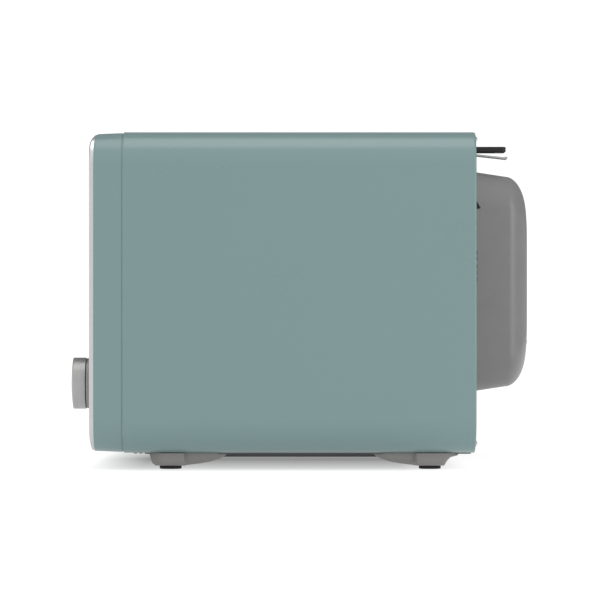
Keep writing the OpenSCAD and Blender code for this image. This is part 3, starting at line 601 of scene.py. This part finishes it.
def screw_head(r, height, recess=0.5 * MM):
    """Pan head with a cross recess, standing on z = 0."""
    rim = 0.25 * MM
    profile = [(r * 0.97, -0.2 * MM), (r, rim)]
    profile += [(r * math.cos(a), rim + (height - rim) * math.sin(a))
                for a in map(math.radians, (25, 50, 70, 82))]
    profile.append((r * 0.08, height))
    head = revolve(profile, 40)
    arm = r * 0.5
    half = r * 0.13
    cross = [(half, half), (half, arm), (-half, arm), (-half, half), (-arm, half), (-arm, -half),
             (-half, -half), (-half, -arm), (half, -arm), (half, -half), (arm, -half), (arm, half)]
    cutter = bmesh.new()
    low = [cutter.verts.new((x * 0.6, y * 0.6, height - recess * 2)) for x, y in cross]
    top = [cutter.verts.new((x, y, height + recess)) for x, y in cross]
    for i in range(len(cross)):
        j = (i + 1) % len(cross)
        cutter.faces.new((low[i], low[j], top[j], top[i]))
    cutter.faces.new(list(reversed(low)))
    cutter.faces.new(top)
    return cut(head, cutter)


def cut(body, tool):
    """The first solid less the second."""
    objs = []
    for bm in (body, tool):
        bmesh.ops.recalc_face_normals(bm, faces=bm.faces)
        mesh = bpy.data.meshes.new("solid")
        bm.to_mesh(mesh)
        bm.free()
        obj = bpy.data.objects.new("solid", mesh)
        bpy.context.scene.collection.objects.link(obj)
        objs.append(obj)
    modifier = objs[0].modifiers.new("cut", "BOOLEAN")
    modifier.operation = "DIFFERENCE"
    modifier.solver = "EXACT"
    modifier.object = objs[1]
    graph = bpy.context.evaluated_depsgraph_get()
    mesh = bpy.data.meshes.new_from_object(objs[0].evaluated_get(graph))
    left = bmesh.new()
    left.from_mesh(mesh)
    bpy.data.meshes.remove(mesh)
    for obj in objs:
        mesh = obj.data
        bpy.data.objects.remove(obj)
        bpy.data.meshes.remove(mesh)
    return left


def make_screws():
    """Pan-head screws of the back panel and of the motor cover."""
    lo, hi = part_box("rear_panel_screws")
    r = 3.5 * MM
    top, low = hi.z - r, lo.z + r
    side = hi.x - r
    parts = [moved(screw_head(r, hi.y - PANEL_Y), facing_back(x, PANEL_Y, z))
             for x, z in ((-side, top), (side, top), (-side, low), (0, low), (side, low))]
    build("panel_screw_heads", join(parts), screw_metal, "root", ["rear_panel_screws"])
    lo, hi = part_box("rear_cover_screws")
    back = cover_hi.y
    r = 3 * MM
    parts = [moved(screw_head(r, hi.y - back, 0.3 * MM), facing_back(x, back, z))
             for x in (lo.x + r, hi.x - r) for z in (lo.z + r, hi.z - r)]
    build("cover_screw_heads", join(parts), cover_screw, "root", ["rear_cover_screws"])


def make_spout():
    """Black steam spout: a moulded tongue with one opening, crossed by two thin vanes."""
    lo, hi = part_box("exhaust_hood")
    rear = wrap_hi.y
    half = 10 * MM
    front, back = rear + 8 * MM, rear + 28 * MM
    outlines = [round_path(lo.x, hi.x, lo.y, hi.y, 3 * MM), round_path(-half, half, front, back, 2 * MM, 5)]
    parts = [moved(plate(outlines, hi.z - lo.z, 1 * MM, 4), Matrix.Translation((0, 0, lo.z)))]
    for x in (-3.5 * MM, 3.5 * MM):
        vane = plate([round_path(x - 0.8 * MM, x + 0.8 * MM, front - 1 * MM, back + 1 * MM, 0.5 * MM, 3)],
                     3 * MM, 0.3 * MM, 2)
        parts.append(moved(vane, Matrix.Translation((0, 0, lo.z + 1 * MM))))
    return build("steam_spout", join(parts), black_plastic, "root", ["exhaust_hood"])


def make_deflector():
    """Folded steel tab with a rolled hem at its tip."""
    lo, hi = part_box("exhaust_deflector")
    r = 1.25 * MM
    low = hi.z - 3.2 * MM
    tip_y, tip_z = hi.y - r, lo.z + r
    profile = [(PANEL_Y, hi.z), (PANEL_Y, low), (PANEL_Y + 0.9 * MM, low),
               (PANEL_Y + 1.2 * MM, low + 0.9 * MM), (PANEL_Y + 2.2 * MM, hi.z - 1.75 * MM),
               (tip_y - 2 * MM, tip_z - 0.9 * MM)]
    profile += [(tip_y + y, tip_z + z) for y, z in arc(0, 0, r, -110, 100, 12)]
    profile.append((tip_y - 2 * MM, tip_z + 0.7 * MM))
    return build("deflector_plate", extrude_x(profile, lo.x, hi.x, 0.4 * MM, 3), zinc, "root",
                 ["exhaust_deflector"])


def make_gland():
    """Moulded cord gland: square flange, inner collar and a sloping rain hood."""
    lo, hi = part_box("cord_gland")
    x = (lo.x + hi.x) / 2
    half = (hi.x - lo.x) / 2
    bore = 3.7 * MM
    flange = stand(plate([box_path(x, GLAND_Z, half, half, 3 * MM, 6), circle_path(x, GLAND_Z, bore)], 3 * MM,
                         0.5 * MM, 3), PANEL_Y)
    sleeve = moved(lathe([(bore, 0), (7 * MM, 0), (7 * MM, 9.2 * MM), (bore, 9.2 * MM)], 48),
                   facing_front(x, PANEL_Y, GLAND_Z))
    section = [(0.3, 3), (0.5, 4.4), (1.6, 4.6), (2.4, 4.0), (2.6, 2.8), (0.3, 2.6)]
    collar = moved(lathe([(bore + a * MM, b * MM) for a, b in section], 48), facing_back(x, PANEL_Y, GLAND_Z))
    low = GLAND_Z + 9.8 * MM
    tip = hi.y
    wedge = [(PANEL_Y, hi.z), (PANEL_Y, low), (tip - 0.6 * MM, low), (tip, low + 0.35 * MM),
             (tip - 0.25 * MM, low + 0.9 * MM), (PANEL_Y + 0.8 * MM, hi.z - 0.6 * MM)]
    hood = extrude_x(wedge, lo.x, hi.x, 0.6 * MM, 3)
    return build("cord_gland_moulding", join([flange, sleeve, collar, hood]), black_plastic, "root",
                 ["cord_gland"])


# ---- Feet and base ----

def foot_outline(offset, toe):
    """Height of the foot's underside at a distance inwards from its pad."""
    profile = [*toe, (12, 2.8), (18, 3.6), (26, 4.6), (34, 6), (42, 8.4), (47, 11), (FOOT_END, FOOT_DEPTH)]
    for (a, low), (b, high) in zip(profile, profile[1:]):
        if a <= offset <= b and b > a:
            return low + (high - low) * (offset - a) / (b - a)
    return profile[0][1]


def make_foot(node, side, inward, toe):
    """A moulded foot lofted along Y: a lump over the pad, then a tail that thins towards the middle."""
    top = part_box(node)[1].z
    pad_y = FRONT_PAD_Y if inward > 0 else REAR_PAD_Y
    first, last = toe[0][0], FOOT_END
    count = 64
    lump_half, tail_narrower = 20, 4
    rings = []
    for k in range(count + 1):
        turn = math.pi * k / count
        offset = first + (last - first) * (1 - math.cos(turn)) / 2
        depth = max(0.35, FOOT_DEPTH - foot_outline(offset, toe))
        ends = min(offset - first, last - offset)
        setback = max(0.0, min(1.0, (offset - 12) / 2))
        rounding = max(0.0, 1 - ends / 14) ** 2.4 * 0.45
        half = lump_half * (1 - rounding) - tail_narrower * setback * setback * (3 - 2 * setback)
        power = 2 / (4.2 - 1.9 * setback)
        lip = min(15.4, half - 0.6)
        ring = [(half, 0.8)]
        for i in range(33):
            a = math.pi * i / 32
            c, s = math.cos(a), math.sin(a)
            ring.append((math.copysign(abs(c) ** power, c) * half, -abs(s) ** power * depth))
        ring += [(lip, 0), (lip, 0.8)]
        y = pad_y + inward * offset * MM
        rings.append([Vector((side * (FOOT_X + out * MM), y, top + up * MM)) for out, up in ring])
    bm = skin(rings, closed=True, around=False)
    return build(node + "_moulding", bm, foot_plastic, "root", [node], sharp=50)


def make_pads():
    """Four rubber pads with a moulded rim and three grip rings underneath."""
    parts = []
    profile = [(3.4, 6.9), (3.4, 2.9), (9.0, 2.8), (9.5, 2.4), (9.5, 0.7), (9.2, 0.2), (8.7, 0), (7.4, 0),
               (7.1, 0.4), (6.7, 0.4), (6.4, 0), (5.2, 0), (4.9, 0.4), (4.5, 0.4), (4.2, 0), (0.4, 0)]
    for side in (-1, 1):
        for y in (FRONT_PAD_Y, REAR_PAD_Y):
            pad = revolve([(r * MM, h * MM) for r, h in profile], 64)
            parts.append(moved(pad, Matrix.Translation((side * FOOT_X, y, 0))))
    return build("rubber_pads", join(parts), rubber, "root", ["foot_pads"])


def make_base():
    """Base plate with rolled-edge vent slots and two folded ribs."""
    lo, hi = base_lo, base_hi
    thick = 1 * MM
    slot_half_w, slot_half_l = 2.5 * MM, 22 * MM
    outlines = [round_path(lo.x, hi.x, lo.y, hi.y, 4 * MM, 5)]
    for i in range(-5, 6):
        for row in (-1, 0, 1):
            x, y = i * 26 * MM, row * 80 * MM
            outlines.append(round_path(x - slot_half_w, x + slot_half_w, y - slot_half_l, y + slot_half_l,
                                       2.4 * MM, 6))
    floor = moved(plate(outlines, thick, 0.25 * MM, 2), Matrix.Translation((0, 0, hi.z - thick)))
    parts = [floor]
    for side in (-1, 1):
        tall = (hi.z - thick - lo.z) / MM
        rib = [(-1, tall), (-1, 0.5), (-0.7, 0), (0.7, 0), (1, 0.5), (1, tall)]
        x = side * 176 * MM
        front, rear = wrap_lo.y + 22 * MM, wrap_hi.y - 17 * MM
        rings = []
        for y, lift in ((front, 1.6), (front + 1.2 * MM, 0.5), (front + 3 * MM, 0), (rear - 3 * MM, 0),
                        (rear - 1.2 * MM, 0.5), (rear, 1.6)):
            rings.append([Vector((x + a * MM, y, lo.z + max(b, lift) * MM)) for a, b in rib])
        parts.append(skin(rings, closed=True, around=False))
    return build("base_pressing", join(parts), dark_coat, "root", ["base_plate"])


# ---- Controls ----

def make_knob():
    """Turned metal knob: domed face, small edge radius, fine lathe lines and a dark pointer bar."""
    lo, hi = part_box("knob_cap")
    x, z = (lo.x + hi.x) / 2, (lo.z + hi.z) / 2
    r = (hi.x - lo.x) / 2 / MM
    height = (face_lo.y - lo.y) / MM
    cap_depth, dome = 12.6, 1.4
    seat = height - cap_depth
    edge = height - dome
    profile = [(3.1, 1.8), (6.6, 1.8), (7, 2.2), (7, seat), (r - 0.6, seat), (r - 0.12, seat + 0.05),
               (r, seat + 0.25), (r, edge - 0.9), (r - 0.1, edge - 0.45), (r - 0.4, edge - 0.1)]
    for k in range(1, 13):
        share = 1 - k / 12.5
        profile.append(((r - 0.8) * share, edge + dome * (1 - share * share)))
    cap = revolve([(a * MM, b * MM) for a, b in profile], 128)
    cap = moved(cap, facing_front(x, face_lo.y, z))
    build("knob_turned", cap, knob_metal, "knob", ["knob_cap"])
    bar = plate([round_path(-0.6 * MM, 0.6 * MM, -3.6 * MM, 3.6 * MM, 0.55 * MM, 5)], 0.5 * MM, 0.08 * MM, 2)
    lean = Matrix.Rotation(math.radians(-5.4), 4, "X")
    place = Matrix.Translation((0, 15.4 * MM, (edge + 0.33) * MM)) @ lean
    bar = moved(bar, facing_front(x, face_lo.y, z) @ place)
    build("knob_pointer", bar, gloss_black, "knob")


def make_ring():
    """Dark stationary ring behind the knob."""
    lo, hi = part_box("knob_ring")
    x, z = (lo.x + hi.x) / 2, (lo.z + hi.z) / 2
    r = (hi.x - lo.x) / 2 / MM
    front = (face_lo.y - lo.y) / MM
    profile = [(8.1, front), (8.1, 0), (r - 1.0, 0), (r - 0.3, 0.2), (r, 0.6), (r, front - 0.15),
               (r - 0.15, front), (r - 1.4, front)]
    bm = moved(lathe([(a * MM, b * MM) for a, b in profile], 128), facing_front(x, face_lo.y, z))
    return build("knob_collar", bm, ring_metal, "root", ["knob_ring"])


def make_panel():
    """Gloss black control panel with a soft edge, its openings and a stiffening wall behind."""
    lo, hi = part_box("control_panel")
    glass_lo, glass_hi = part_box("display_glass")
    knob_lo, knob_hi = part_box("knob_cap")
    r = 12.8 * MM
    edge = 0.3 * MM
    outer = round_path(lo.x, hi.x, lo.z, hi.z, r, 12)
    openings = [padded_path(glass_lo, glass_hi, edge, 0.6 * MM, 3),
                circle_path((knob_lo.x + knob_hi.x) / 2, (knob_lo.z + knob_hi.z) / 2, 4.2 * MM)]
    for name in BUTTONS:
        b_lo, b_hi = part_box(name)
        openings.append(circle_path((b_lo.x + b_hi.x) / 2, (b_lo.z + b_hi.z) / 2, 9.4 * MM))
    face = stand(plate([outer, *openings], 3 * MM, 0.35 * MM, 3), lo.y)
    wall = stand(plate([padded_path(lo, hi, -0.2 * MM, r, 12), padded_path(lo, hi, -2 * MM, r - 2 * MM, 12)],
                       6.2 * MM, 0.2 * MM, 2), lo.y + 2.8 * MM)
    return build("control_fascia", join([face, wall]), gloss_black, "root", ["control_panel"])


def make_button(name, body):
    """A dished push button with a rounded rim and its stem."""
    lo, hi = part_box(name)
    x, z = (lo.x + hi.x) / 2, (lo.z + hi.z) / 2
    r = (hi.x - lo.x) / 2 / MM
    depth = (hi.y - lo.y) / MM
    profile = [(2.7, -depth), (3, -depth + 0.3), (3, -3.5), (r - 0.6, -3.5), (r - 0.15, -3.3), (r, -2.9),
               (r, -0.55), (r - 0.16, -0.16), (r - 0.55, 0), (r - 1.1, -0.06)]
    profile += [((r - 1.1) * (1 - k / 9), -0.06 - 0.6 * (1 - (1 - k / 9) ** 2)) for k in range(1, 9)]
    bm = moved(revolve([(a * MM, b * MM) for a, b in profile], 72), facing_front(x, lo.y, z))
    return build(name + "_dished", bm, satin_metal, body, [name])


# ---- Door ----

def make_door():
    """Steel-faced door frame: a front skin with a soft edge round the window, and a deeper core."""
    lo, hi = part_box("door_frame")
    pane_lo, pane_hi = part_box("door_glass")
    grip_lo, grip_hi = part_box("door_grip")
    lip = pane_lo.y - lo.y
    r = 12.5 * MM
    slack = 0.2 * MM
    grip = padded_path(grip_lo, grip_hi, slack, 5 * MM, 8)
    window = padded_path(pane_lo, pane_hi, -6 * MM, 4 * MM, 8)
    rebate = padded_path(pane_lo, pane_hi, 1 * MM, 4 * MM, 8)
    skin_face = stand(plate([door_path(lo.x, hi.x, lo.z, hi.z, r), window, grip], lip, 0.8 * MM, 4), lo.y)
    inset = 0.25 * MM
    core = stand(plate([door_path(lo.x + inset, hi.x - inset, lo.z + inset, hi.z - inset, r), rebate, grip],
                       hi.y - lo.y - lip + 0.4 * MM, 0.3 * MM, 2), lo.y + lip - 0.4 * MM)
    return build("door_facing", join([skin_face, core]), silver, "door", ["door_frame"])


def make_seal():
    """Hollow-looking silicone bead round the mouth: a round lip on a flat foot."""
    lo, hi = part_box("door_seal")
    depth = (hi.y - lo.y) / MM
    section = [(0.1, 0), (1.0, 0), (1.4, 0.35), (1.7, 0.9), (2.2, depth - 0.25), (2.9, depth),
               (3.5, depth - 0.35), (3.7, 0.95), (4.0, 0.4), (4.9, 0.0)]
    rings = []
    for inset, y in section:
        draw = inset * MM
        path = round_path(lo.x + draw, hi.x - draw, lo.z + draw * 0.9, hi.z - draw * 0.9, 13 * MM - draw, 12)
        rings.append([Vector((x, lo.y + y * MM, z)) for x, z in path])
    return build("door_gasket", skin(rings), silicone, "door", ["door_seal"])


# ---- Inside ----

def make_rack():
    """Wire rack: one bent rim of heavy wire, a row of welded cross wires and two stays under them."""
    lo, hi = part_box("wire_rack")
    rim_r, wire_r = 2.5 * MM, 1.5 * MM
    z = lo.z + rim_r
    path = round_path(lo.x + rim_r, hi.x - rim_r, lo.y + rim_r, hi.y - rim_r, 9 * MM, 10)
    parts = [tube([(x, y, z) for x, y in path], rim_r, 20, closed=True)]
    gaps = 15
    pitch = (hi.x - lo.x - 2 * rim_r) / gaps
    front, rear = lo.y + rim_r, hi.y - rim_r
    high = z + 1.2 * MM
    runs = (front - 0.4 * MM, front, front + 6 * MM, 0, rear - 6 * MM, rear, rear + 0.4 * MM)
    for i in range(1, gaps):
        x = lo.x + rim_r + i * pitch
        parts.append(tube([(x, y, high) for y in runs], wire_r, 14))
    low = z - 0.3 * MM
    for share in (0.33, 0.67):
        y = front + (rear - front) * share
        parts.append(tube([(lo.x + rim_r, y, low), (0, y, low), (hi.x - rim_r, y, low)], wire_r * 0.95, 14))
    return build("bent_wire_rack", join(parts), chrome, "rack", ["wire_rack"])


def make_tray():
    """Pressed baking tray: a slightly domed floor, a foot radius, drafted walls and a rolled rim."""
    lo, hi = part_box("baking_tray")
    rim = 6
    height = (hi.z - lo.z) / MM
    section = [(rim + 14, 0.35), (rim + 6, 0.1), (rim + 3.2, 0.05), (rim + 1.4, 0.6), (rim + 0.5, 2.2),
               (rim, 5), (rim, height - 3), (rim - 0.5, height - 1.3), (rim - 1.6, height - 0.9),
               (1.2, height - 0.9), (0.4, height - 1.3), (0, height - 0.8), (0.25, height - 0.2), (1, height),
               (rim - 1.2, height - 0.05), (rim + 0.4, height - 0.7), (rim + 1, height - 2.6),
               (rim + 1.05, 5.2), (rim + 1.6, 2.6), (rim + 2.6, 1.4), (rim + 4, 1.05), (rim + 14, 1.3)]
    rings = []
    for inset, z in section:
        draw = inset * MM
        path = round_path(lo.x + draw, hi.x - draw, lo.y + draw, hi.y - draw, max(6 * MM, 22 * MM - draw), 12)
        rings.append([Vector((x, y, lo.z + z * MM)) for x, y in path])
    return build("pressed_baking_tray", skin(rings, closed=True, around=False), non_stick, "rack",
                 ["baking_tray"])


def make_lens():
    """Ribbed glass dome over the oven lamp."""
    lo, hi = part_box("lamp_lens")
    y, z = (lo.y + hi.y) / 2, (lo.z + hi.z) / 2
    r = (hi.y - lo.y) / 2 / MM
    depth = (hi.x - lo.x) / MM
    dome = []
    for degrees in range(0, 90, 10):
        a = math.radians(degrees)
        groove = 0.25 if degrees % 20 else 0
        dome.append((r * math.cos(a), depth * (0.2 + 0.8 * math.sin(a)) - groove))
    bm = revolve([(a * MM, b * MM) for a, b in [(r - 5, 0), (r - 0.3, 0), (r, 0.3), *dome]], 72)
    turn = Matrix.Translation((hi.x, y, z)) @ Matrix.Rotation(math.radians(-90), 4, "Y")
    return build("lamp_dome", moved(bm, turn), clear, "root", ["lamp_lens"])


# ---- The CAD nodes that keep their own shape ----

def dress(material, *names, bevel=0.0, sharp=40):
    """Gives CAD nodes a finish, and a small round on their edges."""
    for name in names:
        obj = nodes[name]
        obj.data.materials.clear()
        obj.data.materials.append(material)
        weld = obj.modifiers.new("weld", "WELD")
        weld.merge_threshold = SAME_POINT
        if bevel:
            flat = obj.modifiers.new("flat", "DECIMATE")
            flat.decimate_type = "DISSOLVE"
            flat.angle_limit = math.radians(1)
            edge = obj.modifiers.new("edge", "BEVEL")
            edge.width = bevel
            edge.segments = 3
            edge.limit_method = "ANGLE"
            edge.angle_limit = math.radians(sharp)
            edge.use_clamp_overlap = True
            edge.harden_normals = False
        normals = obj.modifiers.new("even_normals", "WEIGHTED_NORMAL")
        normals.keep_sharp = True


make_wrap()
make_front_frame()
make_fascia()
make_rear_panel()
make_rear_cover()
make_screws()
make_spout()
make_deflector()
make_gland()
for side, end in ((-1, "left"), (1, "right")):
    make_foot("foot_front_" + end, side, 1, FRONT_TOE)
    make_foot("foot_rear_" + end, side, -1, REAR_TOE)
make_pads()
make_base()
make_knob()
make_ring()
make_panel()
for button, body in BUTTONS.items():
    make_button(button, body)
make_door()
make_seal()
make_rack()
make_tray()
make_lens()

dress(zinc, "front_plate", bevel=0.2 * MM)
dress(enamel, "cavity_left_wall", "cavity_right_wall", "cavity_top", "cavity_floor", "cavity_rear_wall",
      "fan_guard")
dress(zinc, "runner_left", "runner_right", "fan_chamber", "hinge_brackets", bevel=0.3 * MM)
dress(sheath, "upper_elements", "lower_elements", "convection_element")
dress(ceramic, "element_insulators", bevel=0.6 * MM)
dress(satin_metal, "temperature_probe", "encoder_body", "encoder_shaft", "hinge_pins", "fan_shaft")
dress(laminate, "fan_motor", bevel=0.6 * MM)
dress(cast, "fan_impeller", bevel=0.2 * MM)
dress(board, "control_board", "power_board", bevel=0.3 * MM)
dress(display, "display_glass", bevel=0.3 * MM)
dress(tinted, "door_glass", bevel=0.4 * MM)
dress(clear, "door_inner_glass", bevel=0.4 * MM)
dress(satin_metal, "door_inner_panel", bevel=0.3 * MM)
dress(black_plastic, "door_grip", "door_switch", bevel=0.4 * MM)
dress(red_plastic, "switch_plunger", bevel=0.3 * MM)
dress(silver, "crumb_tray", bevel=0.3 * MM)


# ---- Camera, floor and light ----

CAMERA_AT = (3.5, -0.0044, 0.1457)
SENSOR_MM = 36
LENS_MM = 229.05
# Name, place, target, size and power of each softbox.
SOFTBOXES = (("overhead", (0.35, 0.0, 2.4), (0.2, 0, 0.2), (1.0, 1.6), 12),
             ("rear_side", (1.7, 1.95, 0.5), (0.1, 0.15, 0.15), (1.0, 1.4), 13),
             ("front_side", (0.6, -2.6, 0.6), (0.1, -0.1, 0.15), (0.9, 1.4), 6))
# Sky strength at the horizon and overhead, and on the left and the right of the oven.
SKY_BY_HEIGHT = (0.95, 1.3)
SKY_BY_SIDE = (0.28, 0.97)
SKY_SEEN = 1.1
# Floor glow in the open and under the oven, where it is dimmed into a painted shadow, and the share of it
# that lights the oven.
GLOW_OUTSIDE = 0.85
GLOW_IN_PAINTED_SHADOW = 0.25
GLOW_ON_OVEN = 0.85
# Where the floor's glow is dimmed into a painted shadow across and along the oven's footprint, from its
# middle; this shade is set by place, so it stays put when the door or tray moves.
PAINTED_SHADOW_ACROSS = (0.0, 0.34)
PAINTED_SHADOW_ALONG = (0.112, 0.165)
PAINTED_SHADOW_MIDDLE_Y = -0.03


def make_camera():
    """A long lens straight at the oven's right side."""
    data = bpy.data.cameras.new("camera")
    data.sensor_width = SENSOR_MM
    data.lens = LENS_MM
    camera = bpy.data.objects.new("camera", data)
    camera.location = CAMERA_AT
    camera.rotation_euler = (math.radians(90), 0, math.radians(90))
    bpy.context.scene.collection.objects.link(camera)
    bpy.context.scene.camera = camera


def soft_light(name, place, target, size, power):
    """A square softbox that the camera does not see."""
    data = bpy.data.lights.new(name, "AREA")
    data.shape = "RECTANGLE"
    data.size, data.size_y = size
    data.energy = power
    light = bpy.data.objects.new(name, data)
    light.location = place
    light.rotation_euler = (Vector(target) - Vector(place)).to_track_quat("-Z", "Y").to_euler()
    light.visible_camera = False
    bpy.context.scene.collection.objects.link(light)


def make_studio():
    """White sweep: a pale floor that glows, with a painted shadow under the oven's footprint, a sky that is
    brightest overhead, and softboxes.
    """
    floor_material, tree, shader = new_material("pale_floor_painted_shadow")
    cloud = noise(tree, 3, 2.0)
    tone = tint(tree, cloud.outputs["Fac"], (0.39, 0.39, 0.39), (0.41, 0.41, 0.41))
    tree.links.new(tone, shader.inputs["Base Color"])
    coords = tree.nodes.new("ShaderNodeTexCoord")
    place = tree.nodes.new("ShaderNodeSeparateXYZ")
    tree.links.new(coords.outputs["Object"], place.inputs["Vector"])
    # Painted shadow: the floor's glow is lowered under the oven's footprint by its place on the floor, not by
    # the oven blocking light.
    across = ramp(tree, maths(tree, "ABSOLUTE", place.outputs["X"]), *PAINTED_SHADOW_ACROSS, 1.0, 0.0)
    off_centre = maths(tree, "ADD", place.outputs["Y"], -PAINTED_SHADOW_MIDDLE_Y)
    along = ramp(tree, maths(tree, "ABSOLUTE", off_centre), *PAINTED_SHADOW_ALONG, 1.0, 0.0)
    glow_with_painted_shadow = ramp(tree, maths(tree, "MULTIPLY", across, along), 0.0, 1.0, GLOW_OUTSIDE, GLOW_IN_PAINTED_SHADOW)
    rays = tree.nodes.new("ShaderNodeLightPath")
    dimming = ramp(tree, rays.outputs["Is Camera Ray"], 0.0, 1.0, GLOW_ON_OVEN, 1.0)
    tree.links.new(maths(tree, "MULTIPLY", glow_with_painted_shadow, dimming), shader.inputs["Emission Strength"])
    shader.inputs["Emission Color"].default_value = (1, 1, 1, 1)
    shader.inputs["Roughness"].default_value = 0.9
    shader.inputs["Specular IOR Level"].default_value = 0.1
    reach = 30
    corners = [(-reach, -reach, 0), (reach, -reach, 0), (reach, reach, 0), (-reach, reach, 0)]
    mesh = bpy.data.meshes.new("floor")
    mesh.from_pydata(corners, [], [(0, 1, 2, 3)])
    floor = bpy.data.objects.new("floor", mesh)
    floor.data.materials.append(floor_material)
    bpy.context.scene.collection.objects.link(floor)

    world = bpy.data.worlds.new("studio")
    bpy.context.scene.world = world
    world.use_nodes = True
    tree = world.node_tree
    background = tree.nodes["Background"]
    coords = tree.nodes.new("ShaderNodeTexCoord")
    split = tree.nodes.new("ShaderNodeSeparateXYZ")
    tree.links.new(coords.outputs["Generated"], split.inputs["Vector"])
    height = ramp(tree, split.outputs["Z"], 0.0, 1.0, *SKY_BY_HEIGHT)
    side = ramp(tree, split.outputs["X"], -0.2, 0.6, *SKY_BY_SIDE)
    sky = maths(tree, "MULTIPLY", height, side)
    rays = tree.nodes.new("ShaderNodeLightPath")
    seen = tree.nodes.new("ShaderNodeMix")
    seen.inputs[3].default_value = SKY_SEEN
    tree.links.new(rays.outputs["Is Camera Ray"], seen.inputs[0])
    tree.links.new(sky, seen.inputs[2])
    tree.links.new(seen.outputs[0], background.inputs["Strength"])
    background.inputs["Color"].default_value = (1, 1, 1, 1)

    for softbox in SOFTBOXES:
        soft_light(*softbox)
    bpy.context.scene.view_settings.view_transform = "Standard"


make_camera()
make_studio()
